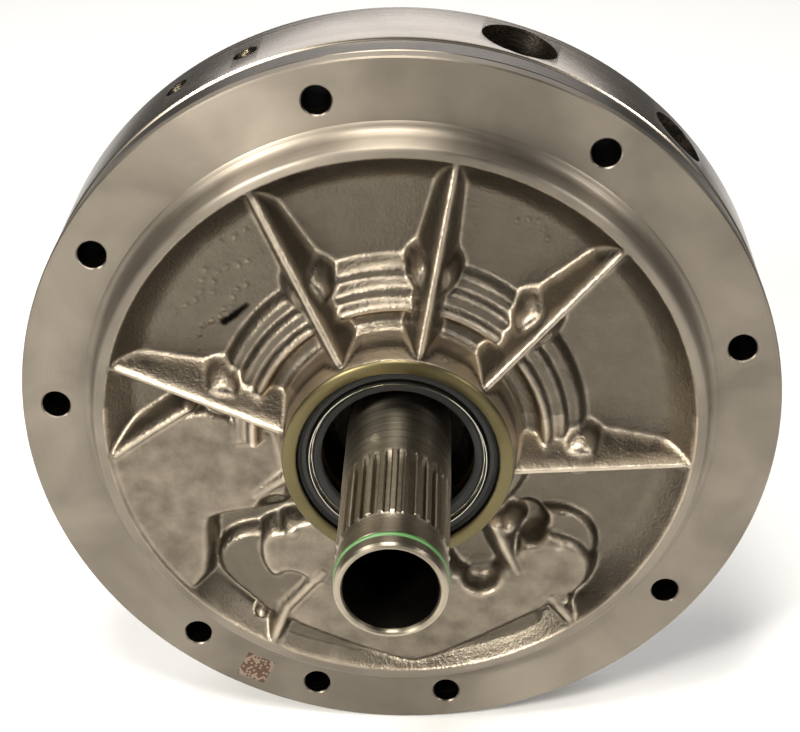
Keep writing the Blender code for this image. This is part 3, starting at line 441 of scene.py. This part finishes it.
def outline_distance(x, z, outline):
    """Distance from a closed outline, in millimetres, below zero inside it."""
    nearest = np.full(x.shape, 1e9)
    inside = np.zeros(x.shape, bool)
    for (x0, z0), (x1, z1) in zip(outline, outline[1:] + outline[:1]):
        ex, ez = x1 - x0, z1 - z0
        share = np.clip(((x - x0) * ex + (z - z0) * ez) / (ex * ex + ez * ez), 0, 1)
        nearest = np.minimum(nearest, np.hypot(x - x0 - share * ex, z - z0 - share * ez))
        if z0 != z1:
            crosses = ((z0 > z) != (z1 > z)) & (x < (x1 - x0) * (z - z0) / (z1 - z0) + x0)
            inside ^= crosses
    return np.where(inside, -nearest, nearest)


def rounded(outline, passes=2):
    """The outline with its corners cut twice, so that they are round."""
    for _ in range(passes):
        cut = []
        for (x0, z0), (x1, z1) in zip(outline, outline[1:] + outline[:1]):
            cut += [(0.75 * x0 + 0.25 * x1, 0.75 * z0 + 0.25 * z1),
                    (0.25 * x0 + 0.75 * x1, 0.25 * z0 + 0.75 * z1)]
        outline = tuple(cut)
    return outline


def ridge(x, z, path, tops, half, slope=3.2, edge=0.8):
    """A rib along a path, with the height of its crest at each point of the path."""
    result = np.full(x.shape, -20.0)
    for (x0, z0), (x1, z1), t0, t1 in zip(path, path[1:], tops, tops[1:]):
        ex, ez = x1 - x0, z1 - z0
        share = np.clip(((x - x0) * ex + (z - z0) * ez) / (ex * ex + ez * ez), 0, 1)
        away = np.hypot(x - x0 - share * ex, z - z0 - share * ez)
        result = np.maximum(result, t0 + (t1 - t0) * share - slope * soft(away - half, edge))
    return result


def knob(x, z, centre, radius, top, slope=2.2, crown=0.35, edge=1.6):
    """A round boss with a crowned top."""
    away = np.hypot(x - centre[0], z - centre[1])
    return top - crown * (away / radius) ** 2 - slope * soft(away - radius, edge)


def pad(x, z, outline, top, slope=2.6, edge=0.9):
    """A flat raised area inside an outline, with sloping sides."""
    return top - slope * soft(outline_distance(x, z, rounded(outline)), edge)


def along(radius, angle):
    """A place (across, up) from a radius and an angle."""
    turn = math.radians(angle)
    return radius * math.cos(turn), radius * math.sin(turn)


def cast_marks(x, z):
    """Low raised marks that mean nothing, in short rows, as foundries cast beside a rib."""
    raised = np.zeros(x.shape)
    for angle, radius, count, pitch in ((131, 82, 4, 5.2), (137, 74, 6, 4.4), (141, 66, 5, 4.6),
                                        (146, 77, 6, 4.6), (150, 68, 5, 4.4), (60.5, 79, 5, 3.6)):
        for n in range(count):
            turn = angle + (n - count / 2) * pitch * 0.55
            out = radius + 1.8 * math.sin(5.1 * n + angle)
            cx, cz = along(out, turn)
            lean = math.radians(turn + 50 * math.sin(2.3 * n + radius))
            u = (x - cx) * math.cos(lean) + (z - cz) * math.sin(lean)
            v = (z - cz) * math.cos(lean) - (x - cx) * math.sin(lean)
            raised = np.maximum(raised, 0.5 * np.exp(-(u / 0.8) ** 2 - (v / 1.1) ** 4))
    return raised


def relief(x, z, sizes):
    """Height of the casting's skin, in millimetres forwards of the flange's face."""
    r = np.hypot(x, z)
    turn = np.degrees(np.arctan2(z, x)) % 360
    wave = 0.10 * np.sin(x * 0.21 + 1.3) * np.sin(z * 0.17 + 0.4)
    floor = 0.5 + wave + cast_marks(x, z)
    # a shelf along the bottom, behind the gallery
    shelf = np.clip((turn - 242) / 3, 0, 1) * np.clip((305 - turn) / 3, 0, 1) * np.clip((r - 60) / 4, 0, 1)
    floor = floor + 3.6 * shelf
    # the stepped back of the gear chamber, in the upper sectors
    upper = np.clip((z + 0.12 * np.abs(x) + 6) / 8, 0, 1)
    steps = 12.2 - 2.0 * soft(r - 46.6, 0.7)
    steps = smooth_max(steps, 9.0 - 1.9 * soft(r - 51.4, 0.7), 0.5)
    steps = smooth_max(steps, 5.6 - 1.7 * soft(r - 56.2, 1.0), 0.6)
    channel = 7.2 + 2.6 * soft(r - 43.2, 0.8)
    steps = smooth_min(steps, channel, 1.0)
    skin = smooth_max(floor, steps * upper - 20 * (1 - upper), 1.2)
    lower_ring = 7.0 - 2.0 * soft(r - 42.0, 1.0)
    skin = smooth_max(skin, lower_ring, 1.5)
    # the wall up to the pilot ring sweeps out of the floor in a wide cove
    cove = np.clip((r - 81.5) / 11.0, 0, 1.2)
    skin = smooth_max(skin, 0.3 + 8.7 * cove ** 1.7, 0.8)
    # raised pads of the lower half
    skin = smooth_max(skin, pad(x, z, SIDE_FLAT, 8.2, 2.0), 1.0)
    skin = smooth_max(skin, pad(x, z, LOW_PAD, 6.4 + 0.05 * (x + 45), 2.0), 1.0)
    skin = smooth_max(skin, pad(x, z, INNER_PAD, 9.2, 2.2), 1.0)
    skin = smooth_max(skin, pad(x, z, GALLERY_PAD, 8.8, 2.2, 1.6), 1.2)
    skin = smooth_max(skin, knob(x, z, (50.5, -43.5), 12.5, 4.8, 2.0, 0.2, 0.8), 0.6)
    # the core's deep corner holes beside the hub
    for centre, radius, floor_height in (((-39.5, -30.5), 4.2, 0.8), ((41.5, -33.5), 4.6, -2.0),
                                         ((26.5, -53.5), 4.0, 0.5)):
        away = np.hypot(x - centre[0], z - centre[1])
        skin = smooth_min(skin, floor_height + 2.4 * soft(away - radius, 1.2), 1.6)
    # short ribs and lumps of the lower half
    short_ribs = (
        (((-25, -53), (-37, -67.5), (-42.5, -82)), (9.6, 9.4, 9.0), 1.0, 2.0, 2.2),
        (((-66, 8), (-78, -0.5), (-90, -9.5)), (9.6, 9.4, 9.2), 0.8, 2.2, 1.4),
        (((31, -33), (34, -42), (38.5, -52)), (11.5, 10.4, 8.8), 0.9, 2.0, 2.2),
        (((50, -62), (58, -73)), (9.0, 8.8), 1.2, 2.2, 1.8),
        (((-36, -16), (-46, -24)), (11.0, 8.4), 1.0, 2.0, 2.0),
    )
    for path, tops, half, slope, blend in short_ribs:
        skin = smooth_max(skin, ridge(x, z, path, tops, half, slope), blend)
    for centre, radius, top in (((-34.5, -37.5), 2.6, 9.9), ((34.5, -34), 2.4, 11.6),
                                ((54.5, -63.5), 1.6, 9.6), ((-46.2, -72.5), 1.5, 7.6),
                                ((-46.8, -80.0), 1.5, 8.8), ((51.5, -42.0), 2.2, 9.2),
                                ((-40.5, -53.0), 2.0, 9.4)):
        skin = smooth_max(skin, knob(x, z, centre, radius, top, 1.5, 0.8, 2.2), 2.4)
    # ribs and their bosses: a narrow crest on steep sides, rounded out of the floor
    high, low = sizes.rib_inner / MM, sizes.rib_outer / MM
    for angle in RIB_ANGLES:
        path = (along(34.5, angle), along(64, angle), along(93, angle))
        middle = high + (low - high) * (64 - 37) / (93 - 37)
        crest = ridge(x, z, path, (high + 0.7, middle, low), 0.95, 3.1, 0.45)
        boss = knob(x, z, along(BOSS_CIRCLE, angle), 5.4, 13.4, 2.8, 0.5, 0.9)
        skin = smooth_max(skin, smooth_max(crest, boss, 2.6), 2.6)
    # hub wall and pilot ring
    hub = 26.5 - 8.5 * soft(r - 35.5, 0.35)
    foot = 11.5 - 1.6 * soft(r - 36.8, 0.8)
    skin = smooth_max(skin, smooth_max(hub, foot, 1.5), 1.6)
    skin = np.minimum(skin, 25.6)
    return np.where(r > 91.0, np.minimum(skin, 9.0), skin)


def casting_radii():
    """Radii of the casting's rows, close together on its steep walls."""
    rows = list(np.arange(35.45, 38.6, 0.26)) + list(np.arange(38.6, 90.0, 0.62))
    rows += list(np.arange(90.0, 93.4, 0.4)) + [94.0]
    return rows


def build_casting(sizes):
    """The cast recess: a spun disc, finely divided, whose front skin is raised by the relief."""
    rows = casting_radii()
    profile = [(26.2, -4.6), (26.2, 14.6), (31.0, 14.6), (31.0, 25.4), (31.6, 26.0), (34.4, 26.0),
               (35.1, 25.7)]
    profile += [(r, 24.0 - 0.2 * n) for n, r in enumerate(rows)]
    profile += [(94.6, 9.0), (95.4, 8.8), (96.0, 8.2), (96.9, 3.2), (97.5, 1.6), (98.4, 0.6), (99.4, 0.15),
                (100.6, 0.01), (100.9, -0.5), (100.9, -4.6)]
    piece = turned("ribbed_casting", profile, sizes.casting_columns)
    mesh = piece.data
    count = len(mesh.vertices)
    co = np.empty(count * 3)
    mesh.vertices.foreach_get("co", co)
    co = co.reshape(-1, 3)
    x, z = co[:, 0] / MM, co[:, 2] / MM
    r = np.hypot(x, z)
    field = (r > 35.3) & (r < 94.5) & (co[:, 1] < 0.0035)
    height = relief(x[field], z[field], sizes)
    co[field, 1] = -height * MM
    mesh.vertices.foreach_set("co", co.ravel())
    # scuffing and painted light: tumbling makes edges and rounded corners bright, with a painted highlight
    # there and painted shade in the hollows, from half in the flat to one on edges
    tumbled_and_shaded = np.full(count, 0.62)
    xs, zs = x[field], z[field]
    around = sum(relief(xs + dx, zs + dz, sizes) for dx, dz in ((1.6, 0), (-1.6, 0), (0, 1.6), (0, -1.6)))
    # painted reflection: the raised pads of the lower half are made a little lighter
    pads = 0.10 * np.clip((height - 5.5) / 3, 0, 1) * (zs < 8)
    above = height - around / 4
    tumbled_and_shaded[field] = np.clip(0.46 + np.where(above > 0, 0.26, -0.20) * above + pads, 0.05, 1.0)
    mesh.attributes.new("tumbled_and_painted_shade", "FLOAT", "POINT").data.foreach_set("value", tumbled_and_shaded.astype(np.float32))
    stroke = ridge(xs, zs, ((-54.1, 34.8), (-51.0, 37.0), (-46.9, 40.6)), (1.5, 1.4, 1.0), 0.55, 1.3, 0.3)
    ink = np.zeros(count)
    ink[field] = np.clip(stroke, 0, 1)
    mesh.attributes.new("ink", "FLOAT", "POINT").data.foreach_set("value", ink.astype(np.float32))
    mesh.update()
    finish_piece(piece, ["cast_aluminium", "turned_aluminium", "nose_aluminium", "bore_painted_shade"],
                 ["front_housing"], angle=60)
    # painted shade: faces inside r 31.2 take the dark bore finish
    radii = np.array([math.hypot(p.center.x, p.center.z) / MM for p in mesh.polygons])
    mesh.polygons.foreach_set("material_index", np.select(
        [radii < 31.2, radii < 35.5, radii > 92.8], [3, 2, 1], 0).astype(np.int32))
    mesh.update()
    return piece


# ---------------------------------------------------------------- other pieces

def case_holes(low, high):
    """The cutter of all the case holes, between two heights."""
    tools = [drum(f"hole_tool_{n}", CASE_HOLE_RADIUS * MM, polar(CASE_HOLE_CIRCLE, angle, low),
                  polar(CASE_HOLE_CIRCLE, angle, high), 40) for n, angle in enumerate(CASE_HOLE_ANGLES)]
    return joined(tools, "hole_tools")


def darken_bores(piece, bore=4.7):
    """Gives the walls of the case holes the dark finish of painted shade, as the piece's last slot."""
    mesh = piece.data
    mesh.materials.append(FINISHES["bore_painted_shade"])
    last = len(mesh.materials) - 1
    centres = [along(CASE_HOLE_CIRCLE, angle) for angle in CASE_HOLE_ANGLES]
    for face in mesh.polygons:
        x, z = face.center.x / MM, face.center.z / MM
        wall = abs(face.normal.y) < 0.2
        if wall and any(math.hypot(x - cx, z - cz) < bore for cx, cz in centres):
            face.material_index = last


def build_flange():
    """The bolting flange: a faced ring with nine deburred holes."""
    ring = turned("bolting_flange", [(100.2, 0.0), (119.4, 0.0), (119.85, -0.5), (119.85, -4.7),
                                     (119.4, -5.0), (100.2, -5.0)], 256)
    apply_boolean(ring, case_holes(-9, 4))
    for n, angle in enumerate(CASE_HOLE_ANGLES):
        deselect()
        bpy.ops.mesh.primitive_cone_add(vertices=40, radius1=4.4 * MM, radius2=5.4 * MM, depth=1.0 * MM,
                                        location=polar(CASE_HOLE_CIRCLE, angle),
                                        rotation=Vector((0, -1, 0)).to_track_quat("Z", "Y").to_euler())
        apply_boolean(ring, settle(start_piece(f"deburr_{n}")))
    finish_piece(ring, ["turned_aluminium"])
    darken_bores(ring)
    deselect()
    bpy.ops.mesh.primitive_cube_add(size=1, location=polar(111.2, 243.5, -0.09),
                                    rotation=(0, math.radians(26.5), 0))
    patch = start_piece("etched_patch")
    patch.scale = (0.0100, 0.0002, 0.0100)
    finish_piece(patch, ["etched"])


def build_body_plate():
    """The middle plate's rim, with the groove that holds the case ring, and its holes."""
    plate = turned("body_plate", [(49.7, -5.3), (116.9, -5.3), (116.9, -7.5), (118.7, -7.5), (119.1, -7.9),
                                  (119.1, -15.9), (118.3, -16.7), (49.7, -16.7)], 256)
    apply_boolean(plate, case_holes(-20, 0))
    finish_piece(plate, ["dark_aluminium"], ["pump_body"])
    darken_bores(plate)
    ring = turned("case_ring_fine", [(118.3 + 0.85 * math.cos(a), -6.35 + 0.85 * math.sin(a))
                                     for a in np.linspace(0, -math.tau, 16, endpoint=False)], 192)
    finish_piece(ring, ["black_rubber"], ["case_ring"])


def build_rear_support():
    """The rear plate with its ports, its pocketed back and the long hub behind it."""
    rim = 119.7
    profile = [(20.4, -17.0), (rim - 1.2, -17.0), (rim - 0.2, -17.6), (rim, -18.6), (rim, -45.3),
               (rim - 1.4, -46.9), (99, -46.9), (98.2, -46.1), (97.4, -35.8), (96.4, -34.9), (74.6, -34.9),
               (73.6, -35.8), (72.8, -46.1), (72, -46.9), (37.2, -46.9), (36.0, -48.0)]
    for middle in CLUTCH_RING_HEIGHTS:
        profile += [(36.0, middle + 1.5), (33.4, middle + 1.5), (33.4, middle - 1.5), (36.0, middle - 1.5)]
    profile += [(36.0, -83.9), (35.0, -84.9), (21.0, -84.9), (20.4, -84.3)]
    support = turned("support_body", profile, 240)
    deselect()
    bpy.ops.mesh.primitive_cube_add(size=1, location=polar(85.5, 0, -40.6))
    bar = start_piece("web")
    bar.scale = (0.029, 0.0110, 0.007)
    bevelled(settle(bar), 0.0012)
    webs = [copied(bar, f"web_{n}", turn=angle) for n, angle in enumerate(CASE_HOLE_ANGLES)]
    bpy.data.objects.remove(bar)
    apply_boolean(support, joined(webs, "webs"), "UNION")
    for angle, height, radius, floor in PORTS:
        deselect()
        bpy.ops.mesh.primitive_cube_add(size=1, location=polar((floor + 99) / 2, angle, -39.5),
                                        rotation=(0, -math.radians(angle), 0))
        block = start_piece("port_block")
        block.scale = ((105 - floor) * MM, 0.0112, (2 * radius + 6) * MM)
        apply_boolean(support, bevelled(settle(block), 0.0014), "UNION")
    tools = [case_holes(-50, -12)]
    for angle, height, radius, floor in PORTS:
        tools.append(drum("port_tool", radius * MM, polar(floor, angle, height),
                          polar(RIM_OUTSIDE, angle, height), 72))
    for angle, depth in PLUGGED_HOLES:
        tools.append(drum("plug_tool", 4.0 * MM, polar(99, angle, depth),
                          polar(RIM_OUTSIDE, angle, depth), 40))
    tools.append(drum("relief_tool", 6.0 * MM, polar(88, RELIEF_ANGLE, RELIEF_HEIGHT),
                      polar(RIM_OUTSIDE, RELIEF_ANGLE, RELIEF_HEIGHT), 40))
    for tool in tools:
        apply_boolean(support, tool)
    finish_piece(support, ["rim_aluminium"], ["rear_support"])
    darken_bores(support)


def build_tube(sizes):
    """The stator tube: splined in the middle, with a chamfered lead and a green ring near its tip."""
    teeth = sizes.teeth
    profile = [(13.4, -84.0), (13.4, 91.2), (13.9, 92.2), (14.6, 92.5), (15.3, 92.3), (15.8, 91.6),
               (15.9, 90.6), (15.9, 88.5), (15.6, 88.35), (14.3, 88.35), (14.3, 86.45), (15.6, 86.45),
               (15.9, 86.3), (15.9, 80.5), (15.4, 80.0), (15.4, 77.4)]
    profile += [(15.4 + 0.8 * s, 77.0 - 1.1 * s) for s in (0.5, 1.0)]
    profile += [(16.2, y) for y in np.linspace(75.4, 46.0, 16)] + [(16.25, 44.6), (16.25, 43.8)]
    profile += [(16.3, 43.2), (16.3, 2.0), (20.0, 2.0), (20.0, -84.0)]
    tube = turned("splined_tube", profile, teeth * 12)
    mesh = tube.data
    co = np.empty(len(mesh.vertices) * 3)
    mesh.vertices.foreach_get("co", co)
    co = co.reshape(-1, 3)
    r = np.hypot(co[:, 0], co[:, 2])
    forward = -co[:, 1] / MM
    on_spline = (r > 15.5 * MM) & (r < 16.3 * MM) & (forward < 76.3) & (forward > 43.9)
    phase = (np.arctan2(co[:, 2], co[:, 0]) * teeth / math.tau) % 1.0
    gap = np.clip((0.27 - np.abs(phase - 0.5)) / 0.10, 0, 1)
    run_out = np.clip((forward - 43.9) / 4.5, 0, 1) ** 0.7
    depth = 1.55 * MM * gap * run_out
    scale = np.where(on_spline, 1 - depth / r, 1.0)
    co[:, 0] *= scale
    co[:, 2] *= scale
    mesh.vertices.foreach_set("co", co.ravel())
    mesh.update()
    finish_piece(tube, ["ground_steel", "bore_painted_shade"], ["stator_tube"], angle=28)
    # painted shade: the bore and the shoulder beside the hub take the dark bore finish
    for face in mesh.polygons:
        out, ahead = math.hypot(face.center.x, face.center.z) / MM, -face.center.y / MM
        if out < 13.6 or (-2 < ahead < 2.6 and out > 16.4):
            face.material_index = 1
    ring = turned("tube_ring_fine", [(15.35 + 0.85 * math.cos(a), 87.4 + 0.8 * math.sin(a))
                                     for a in np.linspace(0, -math.tau, 14, endpoint=False)], 128)
    finish_piece(ring, ["green_rubber"], ["tube_ring"])


def build_seal():
    """The converter hub's lip seal: a bright pressed case and black lips."""
    case = turned("seal_case_fine", [(30.8, 24.2), (30.8, 15.4), (27.6, 15.4), (27.6, 22.4), (28.2, 23.4),
                                     (29.4, 23.6), (30.2, 24.6)], 160)
    finish_piece(case, ["black_rubber"], ["seal_case"])
    edge = turned("seal_steel_edge", [(27.4, 24.4), (27.25, 24.8), (27.0, 24.8), (26.8, 24.4), (26.8, 16.0),
                                      (27.5, 16.0)], 160)
    finish_piece(edge, ["bright_steel"])
    lip = turned("seal_lip_fine", [(26.6, 22.6), (26.6, 16.9), (25.6, 18.4), (23.9, 19.6), (23.6, 19.8),
                                   (23.9, 20.2), (25.2, 21.0), (25.0, 21.8), (23.7, 22.2), (23.6, 22.5),
                                   (24.0, 22.8), (25.6, 23.2)], 160)
    finish_piece(lip, ["black_rubber"], ["seal_lip"])


def build_rear_fittings():
    """Sealing rings on the rear hub, the thrust washer, and the bolts that hold the plates together."""
    middle = CLUTCH_RING_HEIGHTS[0]
    ring = turned("clutch_ring_fine_1", [(36.4, middle + 0.8), (36.1, middle + 1.1), (33.9, middle + 1.1),
                                         (33.9, middle - 1.1), (36.1, middle - 1.1), (36.4, middle - 0.8)],
                  144)
    rings = [ring] + [copied(ring, f"clutch_ring_fine_{n}", (0, (middle - height) * MM, 0))
                      for n, height in enumerate(CLUTCH_RING_HEIGHTS[1:], 2)]
    for n, ring in enumerate(rings, 1):
        finish_piece(ring, ["ring_plastic"], [f"clutch_ring_{n}"])
    washer = turned("thrust_washer_fine", [(48.6, -47.2), (49.0, -47.6), (49.0, -48.8), (48.6, -49.2),
                                           (38.0, -49.2), (37.6, -48.8), (37.6, -47.2)], 144)
    finish_piece(washer, ["washer_plastic"], ["thrust_washer"])

    places = [polar(BOSS_CIRCLE, angle) for angle in BOLT_ANGLES]

    def stud(name, radius, low, high, sides):
        """A cylinder on the first bolt's axis, in millimetres."""
        backwards = Vector((0, -MM, 0))
        return drum(name, radius * MM, places[0] + low * backwards, places[0] + high * backwards, sides)

    bolt = bevelled(stud("bolt_fine_1", 5.77, -47.6, -53.2, 6), 0.0005)
    apply_boolean(bolt, stud("bolt_collar", 6.4, -47.2, -48.4, 48), "UNION")
    apply_boolean(bolt, stud("bolt_cup", 3.6, -52.4, -54.0, 36))
    apply_boolean(bolt, stud("bolt_shank", 3.0, -48.0, 3.0, 32), "UNION")
    bolts = [bolt] + [copied(bolt, f"bolt_fine_{n}", place - places[0])
                      for n, place in enumerate(places[1:], 2)]
    for n, bolt in enumerate(bolts, 1):
        finish_piece(bolt, ["zinc_steel"], [f"assembly_bolt_{n}"])


def build_rim_fittings():
    """Steel balls pressed into the rim's drillings, and the relief valve's plug."""
    seats = [polar(PLUG_BALL_SEAT, angle, depth) for angle, depth in PLUGGED_HOLES]
    deselect()
    bpy.ops.mesh.primitive_uv_sphere_add(segments=40, ring_count=24, radius=3.7 * MM, location=seats[0])
    ball = settle(start_piece("plug_ball_fine_1"))
    for n, one in enumerate([ball, copied(ball, "plug_ball_fine_2", seats[1] - seats[0])], 1):
        finish_piece(one, ["bright_steel"], [f"plug_ball_{n}"])
    plug = drum("relief_plug_fine", 5.7 * MM, polar(111.9, RELIEF_ANGLE, RELIEF_HEIGHT),
                polar(118.9, RELIEF_ANGLE, RELIEF_HEIGHT), 48)
    apply_boolean(plug, drum("plug_socket", 3.2 * MM, polar(115.5, RELIEF_ANGLE, RELIEF_HEIGHT),
                             polar(121, RELIEF_ANGLE, RELIEF_HEIGHT), 6))
    finish_piece(plug, ["zinc_steel"], ["relief_plug"])


def paint_frame_nodes():
    """Better finishes for the frame's own pieces that stay in sight."""
    table = {"inner_rotor": "sintered_steel", "outer_rotor": "sintered_steel",
             "garter_spring": "bright_steel", "hub_bushing": "bronze", "input_bush_front": "bronze",
             "input_bush_rear": "bronze", "dowel_pin_1": "ground_steel", "dowel_pin_2": "ground_steel",
             "relief_ball": "bright_steel", "relief_spring": "ground_steel"}
    for node, finish in table.items():
        NODES[node].data.materials.clear()
        NODES[node].data.materials.append(FINISHES[finish])


def build_stage(colours):
    """Floor, lights and the camera."""
    deselect()
    low = CAD_BOX[0][2]
    bpy.ops.mesh.primitive_plane_add(size=9, location=(0, 1.5, low))
    floor = start_piece("studio_floor")
    paper, tree, shader = new_material("matt_paper_floor", Roughness=0.9, Metallic=0.0)
    place = add_node(tree, "TexCoord").outputs["Object"]
    fibre = add_node(tree, "TexNoise", {}, {"Vector": place, "Scale": 1 / 0.4, "Detail": 2.0})
    tone = add_node(tree, "Mix", {"data_type": "RGBA"},
                    {"Factor": fibre.outputs["Fac"], 6: shaded(colours.floor, 0.98),
                     7: shaded(colours.floor, 1)})
    tree.links.new(tone.outputs[2], shader.inputs["Base Color"])
    floor.data.materials.append(paper)
    settle(floor)

    def panel(name, place, size, power, colour=(1, 1, 1), aim=(0, 0, 0)):
        bpy.ops.object.light_add(type="AREA", location=place)
        lamp = bpy.context.object
        lamp.name = name
        lamp.data.shape = "RECTANGLE"
        lamp.data.size, lamp.data.size_y = size
        lamp.data.energy = power
        lamp.data.color = colour
        direction = Vector(aim) - Vector(place)
        lamp.rotation_euler = direction.to_track_quat("-Z", "Y").to_euler()

    panel("ceiling_panel", (-0.08, -0.30, 1.05), (0.32, 0.62), 14, (1.0, 0.97, 0.90))
    panel("left_key", (-0.62, -0.85, 0.62), (0.24, 0.24), 19, (1.0, 0.97, 0.90))
    panel("right_key", (0.75, -0.70, 0.55), (0.18, 0.20), 5, (1.0, 0.98, 0.94))
    panel("back_panel", (0.0, 1.3, 0.85), (1.8, 0.6), 9, (0.97, 0.97, 1.0))

    world = bpy.data.worlds.new("studio")
    bpy.context.scene.world = world
    world.use_nodes = True
    sky = world.node_tree.nodes["Background"]
    sky.inputs["Color"].default_value = (0.93, 0.90, 0.86, 1)
    sky.inputs["Strength"].default_value = 0.17

    camera_data = bpy.data.cameras.new("camera")
    camera = bpy.data.objects.new("camera", camera_data)
    bpy.context.scene.collection.objects.link(camera)
    camera_data.sensor_width = 36.0
    camera_data.lens = 82.2
    camera_data.shift_y = 0.0685
    camera_data.clip_start = 0.01
    pitch, yaw, away = math.radians(30.36), math.radians(1.58), 0.5785
    spot = Vector((math.sin(yaw) * math.cos(pitch), -math.cos(yaw) * math.cos(pitch), math.sin(pitch)))
    camera.location = spot * away
    camera.rotation_euler = (-spot).to_track_quat("-Z", "Y").to_euler()
    bpy.context.scene.camera = camera
    bpy.context.scene.view_settings.view_transform = "Standard"


# ---------------------------------------------------------------- operators and panel

class PUMP_OT_finishes(bpy.types.Operator):
    """Makes every material"""

    bl_idname = "pump.finishes"
    bl_label = "Finishes"

    def execute(self, context):
        make_finishes(context.scene.pump_sizes, context.scene.pump_colours)
        return {"FINISHED"}


class PUMP_OT_casting(bpy.types.Operator):
    """Builds the cast recess with its ribs and pads"""

    bl_idname = "pump.casting"
    bl_label = "Ribbed casting"

    def execute(self, context):
        build_casting(context.scene.pump_sizes)
        return {"FINISHED"}


class PUMP_OT_flange(bpy.types.Operator):
    """Builds the flange with its nine holes"""

    bl_idname = "pump.flange"
    bl_label = "Bolting flange"

    def execute(self, context):
        build_flange()
        return {"FINISHED"}


class PUMP_OT_body_plate(bpy.types.Operator):
    """Builds the middle plate and the ring that seals the case"""

    bl_idname = "pump.body_plate"
    bl_label = "Body plate"

    def execute(self, context):
        build_body_plate()
        return {"FINISHED"}


class PUMP_OT_rear_support(bpy.types.Operator):
    """Builds the ported rear plate and its hub"""

    bl_idname = "pump.rear_support"
    bl_label = "Rear support"

    def execute(self, context):
        build_rear_support()
        return {"FINISHED"}


class PUMP_OT_tube(bpy.types.Operator):
    """Builds the splined tube and its ring"""

    bl_idname = "pump.tube"
    bl_label = "Stator tube"

    def execute(self, context):
        build_tube(context.scene.pump_sizes)
        return {"FINISHED"}


class PUMP_OT_seal(bpy.types.Operator):
    """Builds the lip seal"""

    bl_idname = "pump.seal"
    bl_label = "Hub seal"

    def execute(self, context):
        build_seal()
        return {"FINISHED"}


class PUMP_OT_rear_fittings(bpy.types.Operator):
    """Builds the rear hub's rings, washer and bolts"""

    bl_idname = "pump.rear_fittings"
    bl_label = "Rear fittings"

    def execute(self, context):
        build_rear_fittings()
        return {"FINISHED"}


class PUMP_OT_rim_fittings(bpy.types.Operator):
    """Builds the rim's balls and plug"""

    bl_idname = "pump.rim_fittings"
    bl_label = "Rim fittings"

    def execute(self, context):
        build_rim_fittings()
        return {"FINISHED"}


class PUMP_OT_frame_nodes(bpy.types.Operator):
    """Gives the frame's own pieces their finishes"""

    bl_idname = "pump.frame_nodes"
    bl_label = "Frame nodes"

    def execute(self, context):
        paint_frame_nodes()
        return {"FINISHED"}


class PUMP_OT_stage(bpy.types.Operator):
    """Builds the floor, the lights and the camera"""

    bl_idname = "pump.stage"
    bl_label = "Stage"

    def execute(self, context):
        build_stage(context.scene.pump_colours)
        return {"FINISHED"}


OPERATORS = [PUMP_OT_finishes, PUMP_OT_casting, PUMP_OT_flange, PUMP_OT_body_plate, PUMP_OT_rear_support,
             PUMP_OT_tube, PUMP_OT_seal, PUMP_OT_rear_fittings, PUMP_OT_rim_fittings, PUMP_OT_frame_nodes,
             PUMP_OT_stage]


class PUMP_PT_pieces(bpy.types.Panel):
    """Lists the pump's pieces in the sidebar."""

    bl_label = "Oil Pump"
    bl_space_type = "VIEW_3D"
    bl_region_type = "UI"
    bl_category = "Oil Pump"

    def draw(self, context):
        for one in OPERATORS:
            self.layout.operator(one.bl_idname)
        for group in (context.scene.pump_sizes, context.scene.pump_colours):
            for key in group.__annotations__:
                self.layout.prop(group, key)


CLASSES = [PumpSizes, PumpColours, *OPERATORS, PUMP_PT_pieces]


def register():
    for one in CLASSES:
        bpy.utils.register_class(one)
    bpy.types.Scene.pump_sizes = PointerProperty(type=PumpSizes)
    bpy.types.Scene.pump_colours = PointerProperty(type=PumpColours)


def unregister():
    del bpy.types.Scene.pump_sizes
    del bpy.types.Scene.pump_colours
    for one in reversed(CLASSES):
        bpy.utils.unregister_class(one)


def main():
    register()
    for one in OPERATORS:
        getattr(bpy.ops.pump, one.bl_idname.split(".")[1])()


if __name__ == "__main__":
    main()
